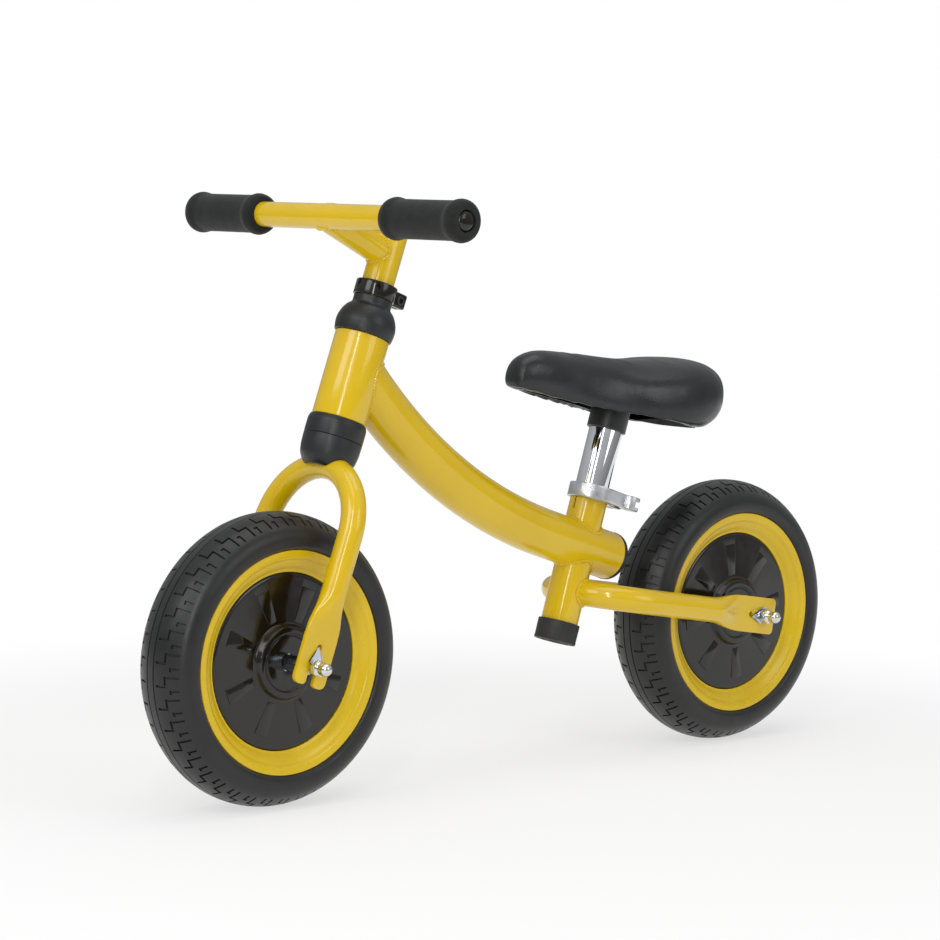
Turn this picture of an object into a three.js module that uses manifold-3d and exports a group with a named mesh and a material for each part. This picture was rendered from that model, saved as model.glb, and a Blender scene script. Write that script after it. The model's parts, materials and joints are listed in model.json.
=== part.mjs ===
// Balance bike: a child's first bike with two 10-inch wheels, no pedals, an adjustable saddle and handlebar.
// Millimetres. +X to the front wheel, +Y to the rider's left, +Z up, origin on the floor under the middle.
import * as THREE from 'three';
import { mergeVertices } from 'three/addons/utils/BufferGeometryUtils.js';
import Module from 'manifold-3d';

const wasm = await Module();
wasm.setup();

// ---------------------------------------------------------------- driving dimensions
const WHEELBASE = 561;
const WHEEL_RADIUS = 127; // 10-inch wheel
const TYRE_HALF_WIDTH = 32;
const HEAD_ANGLE = 19.6; // degrees the steering axis leans back
const SEAT_ANGLE = 17.3; // degrees the seat tube leans back
const SEAT_BASE = [-82, 188.1]; // x and z of the point that seat-tube heights are counted from
const DOWN_TUBE_BEND = 492.6; // radius of the down tube's bend
const GAP = 0.3; // between pieces that touch
const RUNNING = 0.15; // between a shaft and what turns or slides on it
const ROUND = 16; // sides of a small round part

// Tube sizes, outer radius and wall.
const HEAD_TUBE = { radius: 24, wall: 2.5 };
const DOWN_TUBE = { radius: 22.5, wall: 2 };
const SEAT_TUBE = { radius: 17.5, wall: 1.3 };
const STAY_TUBE = { radius: 12, wall: 1.5 };
const FORK_TUBE = { radius: 11, wall: 1.5 };
const STEERER = { radius: 15.9, wall: 1.4 };
const STEM = { radius: 14.3, wall: 1.8 };
const BAR = { radius: 11.1, wall: 1.5 };
const BRACE = { radius: 12.5, wall: 1.5 };
const SEATPOST = { radius: 15.9, wall: 1.5 };

// Fork and stays: U-bent tubes whose flattened ends are the dropouts.
const LEG_SPREAD = 57.3; // half the distance between the two legs
const FORK_BEND_HEIGHT = 115.7; // from the axle to where the bend starts
const STAY_ANGLE = 9; // degrees the stays rise towards the seat tube
const STAY_BEND_DISTANCE = 146.4;
const PLATE = { halfWidth: 17.4, halfThickness: 2.2, end: 16.3, corner: 6 };
const TAB_HOLE = { distance: 17.5, radius: 2.6 };

// Heights along the steering axis, from the front axle.
const COVER_BOTTOM = 171;
const COVER_SEAM = 197.4;
const HEAD_BOTTOM = 215;
const HEAD_TOP = 291;
const BALL_TOP = 319.5;
const RING_BOTTOM = 326;
const RING_TOP = 339.3;
const STEM_BOTTOM = 232;
const STEM_TOP = 392;
const BAR_REACH = 75.4; // from the steering axis forward to the bar
const BAR_HEIGHT = 374.4;
const BRACE_HEIGHT = 365.8;
const BAR_HALF_LENGTH = 173;

// Heights along the seat tube from SEAT_BASE.
const DOWN_TUBE_CROSSING = 14.4; // the down tube's middle line
const DOWN_TUBE_REAR = 41; // from the seat tube's axis back to its open end
const SEAT_TUBE_BOTTOM = -59.8;
const SEAT_TUBE_TOP = 70.6;
const CLAMP_BOTTOM = 57.6;
const CLAMP_TOP = 71.2;
const POST_BOTTOM = -5;
const SOCKET_BOTTOM = 126;
const POST_TOP = 148;

// Axle hardware, half-widths across the bike.
const AXLE_RADIUS = 4;
const AXLE_HALF_LENGTH = 75;
const PLATE_OUTER = LEG_SPREAD + PLATE.halfThickness;
const PLATE_INNER = LEG_SPREAD - PLATE.halfThickness;

const YELLOW = { color: 0xe3c21e, roughness: 0.3, metalness: 0 };
const BLACK_PLASTIC = { color: 0x2c2c2a, roughness: 0.5, metalness: 0 };
const GLOSS_BLACK = { color: 0x1d1b18, roughness: 0.2, metalness: 0 };
const FOAM = { color: 0x2e2e2c, roughness: 0.9, metalness: 0 };
const RUBBER = { color: 0x33322f, roughness: 0.7, metalness: 0 };
const ZINC = { color: 0xc9cdd0, roughness: 0.35, metalness: 1 };
const CHROME = { color: 0xe0e2e4, roughness: 0.1, metalness: 1 };
const ALLOY = { color: 0xcfd1d2, roughness: 0.4, metalness: 1 };
const BRONZE = { color: 0x9a8a5a, roughness: 0.5, metalness: 1 };

// ---------------------------------------------------------------- geometry helpers
const radians = THREE.MathUtils.degToRad;

// A closed BufferGeometry as a manifold-3d solid.
function solid(geometry) {
  const bare = geometry.index ? geometry.toNonIndexed() : geometry.clone();
  bare.deleteAttribute('normal');
  bare.deleteAttribute('uv');
  const merged = mergeVertices(bare, 1e-3);
  const index = merged.index.array;
  const kept = [];
  for (let i = 0; i < index.length; i += 3) {
    const [a, b, c] = [index[i], index[i + 1], index[i + 2]];
    if (a !== b && b !== c && c !== a) {
      kept.push(a, b, c);
    }
  }
  const mesh = { numProp: 3, vertProperties: merged.attributes.position.array, triVerts: new Uint32Array(kept) };
  let body = new wasm.Manifold(new wasm.Mesh(mesh));
  if (body.volume() < 0) {
    for (let i = 0; i < kept.length; i += 3) {
      [kept[i], kept[i + 1]] = [kept[i + 1], kept[i]];
    }
    body = new wasm.Manifold(new wasm.Mesh({ ...mesh, triVerts: new Uint32Array(kept) }));
  }
  return body;
}

// A manifold-3d solid back as a BufferGeometry.
function geometryOf(body) {
  const mesh = body.getMesh();
  const geometry = new THREE.BufferGeometry();
  geometry.setAttribute('position', new THREE.BufferAttribute(new Float32Array(mesh.vertProperties), 3));
  geometry.setIndex(new THREE.BufferAttribute(new Uint32Array(mesh.triVerts), 1));
  geometry.computeVertexNormals();
  return geometry;
}

// A solid turned about +Z from [radius, height] points, which start and end on the axis or close on themselves.
function turned(points, segments = ROUND) {
  const profile = points.map(([radius, height]) => new THREE.Vector2(radius, height));
  return new THREE.LatheGeometry(profile, segments).rotateX(Math.PI / 2);
}

// The same about +Y, for what turns with a wheel or lies across the bike.
function turnedAcross(points, segments = ROUND) {
  return new THREE.LatheGeometry(points.map(([radius, y]) => new THREE.Vector2(radius, y)), segments);
}

// A ring or sleeve about +Z between two radii and two heights.
function ring(inner, outer, bottom, top, segments = ROUND) {
  return turned([[inner, bottom], [outer, bottom], [outer, top], [inner, top], [inner, bottom]], segments);
}

function ringAcross(inner, outer, from, to, segments = 12) {
  return turnedAcross([[inner, from], [outer, from], [outer, to], [inner, to], [inner, from]], segments);
}

// A rod about +Z.
function rod(radius, bottom, top, segments = ROUND) {
  return turned([[0, bottom], [radius, bottom], [radius, top], [0, top]], segments);
}

function rodAcross(radius, from, to, segments = 12) {
  return turnedAcross([[0, from], [radius, from], [radius, to], [0, to]], segments);
}

// A block between two corners.
function block(low, high) {
  const size = high.map((value, axis) => value - low[axis]);
  const middle = high.map((value, axis) => (value + low[axis]) / 2);
  return new THREE.BoxGeometry(...size).translate(...middle);
}

// A round bar swept along a path.
function swept(path, radius, sides, steps) {
  const section = new THREE.Shape();
  section.absarc(0, 0, radius, 0, Math.PI * 2, false);
  return new THREE.ExtrudeGeometry(section, {
    curveSegments: sides,
    steps,
    bevelEnabled: false,
    extrudePath: path,
  });
}

// An outline extruded along +Z between two heights.
function extruded(shape, bottom, top, curveSegments = 8) {
  const geometry = new THREE.ExtrudeGeometry(shape, { depth: top - bottom, bevelEnabled: false, curveSegments });
  return geometry.translate(0, 0, bottom);
}

const group = new THREE.Group();

// Places named in the bike's frame: on the steering axis with +Z up it, and on the seat tube's axis.
const headFrame = new THREE.Group();
headFrame.position.set(WHEELBASE / 2, 0, WHEEL_RADIUS);
headFrame.rotation.y = -radians(HEAD_ANGLE);
const seatFrame = new THREE.Group();
seatFrame.position.set(SEAT_BASE[0], 0, SEAT_BASE[1]);
seatFrame.rotation.y = -radians(SEAT_ANGLE);
const rearFrame = new THREE.Group();
rearFrame.position.set(-WHEELBASE / 2, 0, WHEEL_RADIUS);
const frontFrame = new THREE.Group();
frontFrame.position.set(WHEELBASE / 2, 0, WHEEL_RADIUS);
const stayFrame = new THREE.Group();
stayFrame.position.copy(rearFrame.position);
stayFrame.rotation.y = Math.PI / 2 - radians(STAY_ANGLE);
group.add(headFrame, seatFrame, rearFrame, frontFrame, stayFrame);
group.updateMatrixWorld(true);

// Adds a named mesh from a geometry or a solid to one of the frames.
function add(name, shape, look, parent = group) {
  const geometry = shape.isBufferGeometry ? geometryOf(solid(shape)) : geometryOf(shape);
  const mesh = new THREE.Mesh(geometry, new THREE.MeshStandardMaterial(look));
  mesh.name = name;
  parent.add(mesh);
}

// A geometry moved from one of the frames above into the bike's frame.
const fromFrame = (geometry, frame) => solid(geometry.applyMatrix4(frame.matrixWorld));

// ---------------------------------------------------------------- U-bent legs
// The legs' middle line runs up one leg along +Z, round the bend and down the other, in the YZ plane.
class LegCurve extends THREE.Curve {
  constructor(bendHeight, start) {
    super();
    this.bendHeight = bendHeight;
    this.start = start;
    this.straight = bendHeight - start;
    this.total = 2 * this.straight + Math.PI * LEG_SPREAD;
  }

  getPoint(t, target = new THREE.Vector3()) {
    const along = t * this.total;
    if (along < this.straight) {
      return target.set(0, LEG_SPREAD, this.start + along);
    }
    if (along > this.total - this.straight) {
      return target.set(0, -LEG_SPREAD, this.start + this.total - along);
    }
    const angle = (along - this.straight) / LEG_SPREAD;
    return target.set(0, LEG_SPREAD * Math.cos(angle), this.bendHeight + LEG_SPREAD * Math.sin(angle));
  }
}

// Presses the lowest stretch of both legs flat, as a tube end is pressed in a die.
function pressEnds(geometry, radius, roundAbove, flatBelow) {
  const position = geometry.attributes.position;
  for (let i = 0; i < position.count; i += 1) {
    const z = position.getZ(i);
    const flat = 1 - THREE.MathUtils.smoothstep(z, flatBelow, roundAbove);
    if (flat > 0) {
      const side = Math.sign(position.getY(i));
      const offset = position.getY(i) - side * LEG_SPREAD;
      const pressed = THREE.MathUtils.clamp(offset, -PLATE.halfThickness, PLATE.halfThickness);
      position.setY(i, side * LEG_SPREAD + offset * (1 - flat) + pressed * flat);
      position.setX(i, position.getX(i) * (1 + flat * (PLATE.halfWidth / radius - 1)));
    }
  }
  return geometry;
}

// The dropout's outline in the leg's own XZ plane, with the axle at its centre.
function plateShape(openSlot, top) {
  const { halfWidth, end, corner } = PLATE;
  const slot = AXLE_RADIUS + 0.3;
  const shape = new THREE.Shape();
  shape.moveTo(-halfWidth, top);
  shape.lineTo(-halfWidth, -end + corner);
  shape.absarc(-halfWidth + corner, -end + corner, corner, Math.PI, Math.PI * 1.5, false);
  if (openSlot) {
    const lip = 3;
    shape.absarc(-slot - lip, -end + lip, lip, Math.PI * 1.5, Math.PI * 2, false);
    shape.absarc(0, 0, slot, Math.PI, 0, true);
    shape.absarc(slot + lip, -end + lip, lip, Math.PI, Math.PI * 1.5, false);
  }
  shape.absarc(halfWidth - corner, -end + corner, corner, Math.PI * 1.5, Math.PI * 2, false);
  shape.lineTo(halfWidth, top);
  shape.closePath();
  return shape;
}

// A leg pair with dropouts, standing on the axle line with +Z up the legs. The bore is returned apart.
function legs(tube, bendHeight, steps, openSlot, flatLength, roundLength) {
  const plateTop = 12;
  const curve = new LegCurve(bendHeight, 6);
  const outer = pressEnds(swept(curve, tube.radius, 6, steps), tube.radius, roundLength, flatLength);
  let body = solid(outer);
  for (const side of [-1, 1]) {
    const plate = extruded(plateShape(openSlot, plateTop), -PLATE.halfThickness, PLATE.halfThickness, 3);
    plate.rotateX(Math.PI / 2).translate(0, side * LEG_SPREAD, 0);
    body = body.add(solid(plate));
    const across = [side * LEG_SPREAD - 8, side * LEG_SPREAD + 8];
    body = body.subtract(solid(rodAcross(TAB_HOLE.radius, ...across).translate(0, 0, TAB_HOLE.distance)));
    body = body.subtract(solid(rodAcross(AXLE_RADIUS + 0.3, ...across)));
    if (openSlot) {
      const slot = AXLE_RADIUS + 0.3;
      body = body.subtract(solid(block([-slot, across[0], -PLATE.end - 1], [slot, across[1], 0])));
    }
  }
  const boreCurve = new LegCurve(bendHeight, roundLength);
  const bore = solid(swept(boreCurve, tube.radius - tube.wall, 4, steps - 4));
  return { body, bore };
}

// ---------------------------------------------------------------- frame
function makeFrame() {
  // The down tube runs straight and square to the seat tube at the rear, then bends up to the head tube.
  const up = new THREE.Vector3(0, 0, 1).applyEuler(seatFrame.rotation);
  const forward = new THREE.Vector3(1, 0, 0).applyEuler(seatFrame.rotation);
  const middle = seatFrame.position.clone().addScaledVector(up, DOWN_TUBE_CROSSING);
  const straight = 43.5;
  const bendCentre = middle.clone().addScaledVector(forward, straight).addScaledVector(up, DOWN_TUBE_BEND);
  const bendAngle = radians(33.4);

  class DownTubeCurve extends THREE.Curve {
    constructor(trim) {
      super();
      this.trim = trim;
    }

    getPoint(t, target = new THREE.Vector3()) {
      const length = DOWN_TUBE_REAR + straight + this.trim + DOWN_TUBE_BEND * bendAngle;
      const along = t * length - DOWN_TUBE_REAR - this.trim;
      if (along < straight) {
        return target.copy(middle).addScaledVector(forward, along);
      }
      const angle = (along - straight) / DOWN_TUBE_BEND;
      target.copy(bendCentre).addScaledVector(forward, DOWN_TUBE_BEND * Math.sin(angle));
      return target.addScaledVector(up, -DOWN_TUBE_BEND * Math.cos(angle));
    }
  }

  const downSteps = 10;
  const downTube = solid(swept(new DownTubeCurve(0), DOWN_TUBE.radius, 9, downSteps));
  const downBore = solid(swept(new DownTubeCurve(1), DOWN_TUBE.radius - DOWN_TUBE.wall, 6, downSteps));
  const stay = legs(STAY_TUBE, STAY_BEND_DISTANCE, 18, false, 34, 72);
  const stayBody = stay.body.transform(stayFrame.matrixWorld.elements);
  const stayBore = stay.bore.transform(stayFrame.matrixWorld.elements);
  const seatTube = fromFrame(rod(SEAT_TUBE.radius, SEAT_TUBE_BOTTOM, SEAT_TUBE_TOP), seatFrame);
  const seatBoreRadius = SEAT_TUBE.radius - SEAT_TUBE.wall;
  const seatBore = fromFrame(rod(seatBoreRadius, SEAT_TUBE_BOTTOM - 1, SEAT_TUBE_TOP + 1), seatFrame);
  const slit = fromFrame(block([10, -1.2, 46], [20, 1.2, SEAT_TUBE_TOP + 1]), seatFrame);
  const headTube = fromFrame(rod(HEAD_TUBE.radius, HEAD_BOTTOM, HEAD_TOP), headFrame);
  const headBore = fromFrame(rod(HEAD_TUBE.radius - HEAD_TUBE.wall, HEAD_BOTTOM - 1, HEAD_TOP + 1), headFrame);

  let body = downTube.subtract(downBore).add(headTube).add(seatTube).add(stayBody);
  body = body.subtract(stayBore).subtract(seatBore).subtract(headBore).subtract(slit);
  return body;
}
add('frame', makeFrame(), YELLOW);

// Plug pushed into the open rear end of the down tube.
{
  const inner = DOWN_TUBE.radius - DOWN_TUBE.wall - 0.8;
  const outer = DOWN_TUBE.radius + 0.4;
  const plug = turned([
    [0, -7], [inner, -7], [inner, GAP], [outer, GAP], [outer - 0.8, 3.6], [outer - 3.5, 6.6], [outer - 9, 9], [0, 9.8],
  ]);
  plug.rotateY(-Math.PI / 2).translate(-DOWN_TUBE_REAR, 0, DOWN_TUBE_CROSSING);
  add('down_tube_plug', plug, BLACK_PLASTIC, seatFrame);
}

// Rubber foot pushed over the bottom of the seat tube.
{
  const inner = SEAT_TUBE.radius + GAP;
  const outer = inner + 2;
  const top = SEAT_TUBE_BOTTOM + 0.6;
  const bottom = SEAT_TUBE_BOTTOM - 18.5;
  const foot = turned([
    [0, bottom], [outer - 1.5, bottom], [outer, bottom + 1.5], [outer, top], [inner, top],
    [inner, SEAT_TUBE_BOTTOM - GAP], [0, SEAT_TUBE_BOTTOM - GAP],
  ]);
  add('seat_tube_foot', foot, RUBBER, seatFrame);
}

// ---------------------------------------------------------------- seat clamp
const EAR = { x: -30, reach: 36.5, from: 1.5, to: 8.5, height: (CLAMP_BOTTOM + CLAMP_TOP) / 2 };
const CAM = { x: EAR.x, y: 23.3, radius: 9, pin: 3 };
const CAM_SLOT = 3.2; // half the height of the slot between the lever's cheeks
{
  const inner = SEAT_TUBE.radius + GAP;
  const outer = inner + 3.2;
  let band = solid(ring(inner, outer, CLAMP_BOTTOM, CLAMP_TOP));
  const ears = solid(block([-EAR.reach, -EAR.to, CLAMP_BOTTOM + 0.5], [-19, EAR.to, CLAMP_TOP - 0.5]));
  const split = solid(block([-EAR.reach - 2, -EAR.from, CLAMP_BOTTOM - 1], [-15, EAR.from, CLAMP_TOP + 1]));
  const hole = solid(rodAcross(2.8, -12, 12).translate(EAR.x, 0, EAR.height));
  band = band.add(ears).subtract(split).subtract(hole);
  add('seat_clamp_band', band, ALLOY, seatFrame);

  const skewer = rodAcross(2.5, -16, CAM.y - CAM.pin - GAP).translate(EAR.x, 0, EAR.height);
  add('clamp_skewer', skewer, ZINC, seatFrame);
  const nut = ringAcross(2.65, 6, -15, -EAR.to - GAP).translate(EAR.x, 0, EAR.height);
  add('clamp_adjusting_nut', nut, ALLOY, seatFrame);
  const washer = ringAcross(2.65, 5.8, EAR.to + GAP, CAM.y - CAM.radius - GAP).translate(EAR.x, 0, EAR.height);
  add('clamp_cam_washer', washer, BLACK_PLASTIC, seatFrame);
  const pin = rod(CAM.pin, CLAMP_BOTTOM + 0.5, CLAMP_TOP - 0.5).translate(CAM.x, CAM.y, 0);
  add('clamp_cam_pin', pin, ZINC, seatFrame);

  // The lever: two cheeks round the pin, joined by a flat handle that lies round the band.
  const handle = { inner: 23, outer: 27.3, tip: radians(18), bend: radians(85) };
  const outline = new THREE.Shape();
  outline.absarc(CAM.x, CAM.y, CAM.radius, radians(50), radians(315), false);
  outline.absarc(0, 0, handle.inner, radians(110), handle.tip, true);
  outline.absarc(0, 0, handle.outer, handle.tip, handle.bend, false);
  outline.closePath();
  let lever = solid(extruded(outline, CLAMP_BOTTOM + 0.5, CLAMP_TOP - 0.5, 5));
  const slotHeights = [EAR.height - CAM_SLOT, EAR.height + CAM_SLOT];
  lever = lever.subtract(solid(rod(CAM.radius + 1, ...slotHeights).translate(CAM.x, CAM.y, 0)));
  lever = lever.subtract(solid(rod(CAM.pin + RUNNING, CLAMP_BOTTOM, CLAMP_TOP).translate(CAM.x, CAM.y, 0)));
  add('clamp_lever', lever, ALLOY, seatFrame);
}

// ---------------------------------------------------------------- saddle
{
  const inner = SEATPOST.radius - SEATPOST.wall;
  add('seatpost', ring(inner, SEATPOST.radius, POST_BOTTOM, POST_TOP), CHROME, seatFrame);
}

// Stations of the saddle from nose to tail: x, half width, bottom and top of its outer skin.
const SADDLE_STATIONS = [
  [4, 22, 340, 388], [-22, 23.5, 334, 389.5], [-60, 26, 324, 383.5], [-100, 34, 312, 378.5],
  [-140, 50, 303, 376], [-180, 63, 300, 378], [-212, 67, 301, 379.5], [-242, 62, 304, 376],
];
const SADDLE_EDGE = { x: 4, z: 350, slope: 0.2 };

function saddleStation(x) {
  let i = 1;
  while (i < SADDLE_STATIONS.length - 1 && x < SADDLE_STATIONS[i][0]) {
    i += 1;
  }
  const [from, to] = [SADDLE_STATIONS[i - 1], SADDLE_STATIONS[i]];
  const mix = THREE.MathUtils.smootherstep((from[0] - x) / (from[0] - to[0]), 0, 1) * 0.4
    + ((from[0] - x) / (from[0] - to[0])) * 0.6;
  return from.map((value, k) => value + (to[k] - value) * mix);
}

// The saddle's rounded body, made smaller by an inset all round and by a lowered top, with its bottom deepened.
function saddleBody(inset = 0, lowered = 0, deepened = 0) {
  const geometry = new THREE.SphereGeometry(1, 12, 14).rotateZ(Math.PI / 2);
  const position = geometry.attributes.position;
  const nose = SADDLE_STATIONS[0][0] - inset;
  const tail = SADDLE_STATIONS.at(-1)[0] + inset;
  for (let i = 0; i < position.count; i += 1) {
    const along = THREE.MathUtils.clamp(position.getX(i), -1, 1);
    const x = (nose + tail) / 2 + (along * (nose - tail)) / 2;
    const round = Math.sqrt(Math.max(1 - along * along, 0));
    const bluntness = round > 0 ? round ** 0.45 / round : 0;
    const [, halfWidth, skinBottom, skinTop] = saddleStation(x);
    const bottom = skinBottom - deepened;
    const top = skinTop - lowered;
    const side = position.getY(i) * bluntness;
    const height = position.getZ(i) * bluntness;
    position.setXYZ(i, x, side * Math.max(halfWidth - inset, 4), (top + bottom + height * (top - bottom)) / 2);
  }
  return solid(geometry);
}

// Everything below the saddle's lower edge, raised or lowered.
function belowSaddleEdge(raised) {
  const cutter = new THREE.BoxGeometry(700, 200, 100).translate(0, 0, -50);
  cutter.rotateY(-Math.atan(SADDLE_EDGE.slope));
  return solid(cutter.translate(SADDLE_EDGE.x, 0, SADDLE_EDGE.z + raised));
}

{
  const padThickness = 22;
  const skinInset = 8;
  const openingInset = 24;
  const rimThickness = 8;
  const cavityDepth = 40;
  // The hollow under the pad, smaller by a wall all round: it curls in over a rim and opens below.
  const hollow = (wall) => saddleBody(skinInset + wall, padThickness + wall, -rimThickness - wall)
    .add(saddleBody(openingInset + wall, padThickness + wall, cavityDepth));
  const cavity = hollow(0);
  const pad = saddleBody().subtract(belowSaddleEdge(0)).subtract(cavity);
  add('saddle_pad', pad, RUBBER);

  const trayWall = 2.7;
  const tray = hollow(GAP).subtract(hollow(trayWall)).subtract(belowSaddleEdge(2));
  const socketTop = POST_TOP + 20;
  const socketRadius = 18.5;
  const socket = fromFrame(rod(socketRadius, SOCKET_BOTTOM, socketTop), seatFrame);
  const bore = fromFrame(rod(SEATPOST.radius + GAP, SOCKET_BOTTOM - 1, POST_TOP + GAP), seatFrame);
  const post = socket.intersect(saddleBody(skinInset + 1.5, padThickness + 1.5, 60)).subtract(bore);
  const screwHole = fromFrame(rodAcross(2.3, 0, 40).rotateZ(Math.PI / 2).translate(0, 0, 133), seatFrame);
  const shell = tray.add(post).subtract(screwHole);
  add('saddle_shell', shell, BLACK_PLASTIC);

  // Screw that holds the socket on the post, driven in from behind.
  const screw = turnedAcross([[0, 16.4], [2, 16.4], [2, 18.9], [4.5, 18.9], [4.5, 20.5], [3, 21.6], [0, 22]], 14);
  add('saddle_screw', screw.rotateZ(Math.PI / 2).translate(0, 0, 133), ZINC, seatFrame);
}

// ---------------------------------------------------------------- head bushes, cups and covers
{
  const bushInner = STEERER.radius / Math.cos(Math.PI / ROUND) + RUNNING; // clears the steerer's corners
  const bushOuter = HEAD_TUBE.radius - HEAD_TUBE.wall - GAP;
  const flange = HEAD_TUBE.radius - 1.5;
  add('upper_head_bush', turned([
    [bushInner, HEAD_TOP - 16], [bushOuter, HEAD_TOP - 16], [bushOuter, HEAD_TOP + GAP], [flange, HEAD_TOP + GAP],
    [flange, HEAD_TOP + 2.5], [bushInner, HEAD_TOP + 2.5], [bushInner, HEAD_TOP - 16],
  ]), BRONZE, headFrame);
  add('lower_head_bush', ring(bushInner, bushOuter, HEAD_BOTTOM + 0.5, HEAD_BOTTOM + 16.5), BRONZE, headFrame);

  const cupInner = STEERER.radius + 0.6;
  const cupOuter = 26.2;
  add('lower_head_cup', turned([
    [cupInner, COVER_SEAM + GAP], [cupOuter, COVER_SEAM + GAP], [cupOuter, HEAD_BOTTOM - 6],
    [HEAD_TUBE.radius + 1, HEAD_BOTTOM - GAP], [cupInner, HEAD_BOTTOM - GAP], [cupInner, COVER_SEAM + GAP],
  ]), BLACK_PLASTIC, headFrame);

  const arch = solid(swept(new LegCurve(FORK_BEND_HEIGHT, 60), FORK_TUBE.radius + GAP, 6, 14));
  let cover = solid(turned([
    [cupInner, COVER_BOTTOM], [cupOuter - 6, COVER_BOTTOM], [cupOuter - 2.5, COVER_BOTTOM + 5],
    [cupOuter - 0.5, COVER_BOTTOM + 12], [cupOuter, COVER_SEAM - 3], [cupOuter, COVER_SEAM],
    [cupInner, COVER_SEAM], [cupInner, COVER_BOTTOM],
  ]));
  cover = cover.subtract(arch).subtract(solid(rod(cupInner, COVER_BOTTOM - 1, COVER_SEAM + 1)));
  add('crown_cover', cover, BLACK_PLASTIC, headFrame);

  const neck = 17.2;
  const neckInner = STEERER.radius + GAP;
  add('head_ball_cover', turned([
    [flange + 0.6, HEAD_TOP + GAP], [25.4, HEAD_TOP + GAP], [26.4, 297], [26.4, 302], [25, 308.5], [22, 314],
    [neck, BALL_TOP], [neck, RING_BOTTOM - GAP], [neckInner, RING_BOTTOM - GAP], [neckInner, HEAD_TOP + 3],
    [flange + 0.6, HEAD_TOP + 3], [flange + 0.6, HEAD_TOP + GAP],
  ]), BLACK_PLASTIC, headFrame);
}

// ---------------------------------------------------------------- fork
{
  const steererBottom = FORK_BEND_HEIGHT + LEG_SPREAD + 2;
  const steererTop = RING_TOP - 1.3;
  const crown = FORK_BEND_HEIGHT + LEG_SPREAD + FORK_TUBE.radius;
  const fork = legs(FORK_TUBE, FORK_BEND_HEIGHT, 18, true, 30, 66);
  let body = fork.body.add(solid(rod(STEERER.radius, steererBottom, steererTop)));
  body = body.subtract(solid(rod(STEERER.radius - STEERER.wall, crown + 1, steererTop + 1)));
  body = body.subtract(fork.bore);
  body = body.subtract(solid(rod(5, crown - 6, crown + 2, 12)));
  body = body.subtract(solid(block([-20, -1.2, RING_BOTTOM - 12], [-8, 1.2, steererTop + 1])));
  add('fork', body, YELLOW, headFrame);
}

// Clamp that closes the steerer's slotted top round the stem.
{
  const inner = STEERER.radius + GAP;
  const outer = inner + 2.3;
  const height = (RING_BOTTOM + RING_TOP) / 2;
  const ear = { x: -25, y: 1.2, thickness: 6 };
  const earSide = ear.y + ear.thickness;
  let clamp = solid(ring(inner, outer, RING_BOTTOM, RING_TOP));
  clamp = clamp.add(solid(block([-31.5, -earSide, RING_BOTTOM], [-16.8, earSide, RING_TOP])));
  clamp = clamp.subtract(solid(block([-33, -ear.y, RING_BOTTOM - 1], [-14, ear.y, RING_TOP + 1])));
  clamp = clamp.subtract(solid(rod(inner, RING_BOTTOM - 1, RING_TOP + 1)));
  clamp = clamp.subtract(solid(rodAcross(2.8, -9, 9).translate(ear.x, 0, height)));
  clamp = clamp.subtract(solid(rodAcross(4.6, earSide - 2.5, 9).translate(ear.x, 0, height)));
  add('bar_clamp', clamp, GLOSS_BLACK, headFrame);

  let bolt = solid(turnedAcross([
    [0, -11], [2.5, -11], [2.5, earSide - 2.3], [4.3, earSide - 2.3], [4.3, earSide + 1.4], [0, earSide + 1.4],
  ], 18));
  const hexSocket = new THREE.CylinderGeometry(2.4, 2.4, 3, 6).translate(0, earSide, 0);
  bolt = bolt.subtract(solid(hexSocket)).translate([ear.x, 0, height]);
  add('bar_clamp_bolt', bolt, ZINC, headFrame);
  const nut = new THREE.CylinderGeometry(4.6, 4.6, 3.6, 6).translate(ear.x, -earSide - GAP - 1.8, height);
  const thread = rodAcross(2.65, -13, 0).translate(ear.x, 0, height);
  add('bar_clamp_nut', solid(nut).subtract(solid(thread)), ZINC, headFrame);
}

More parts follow.
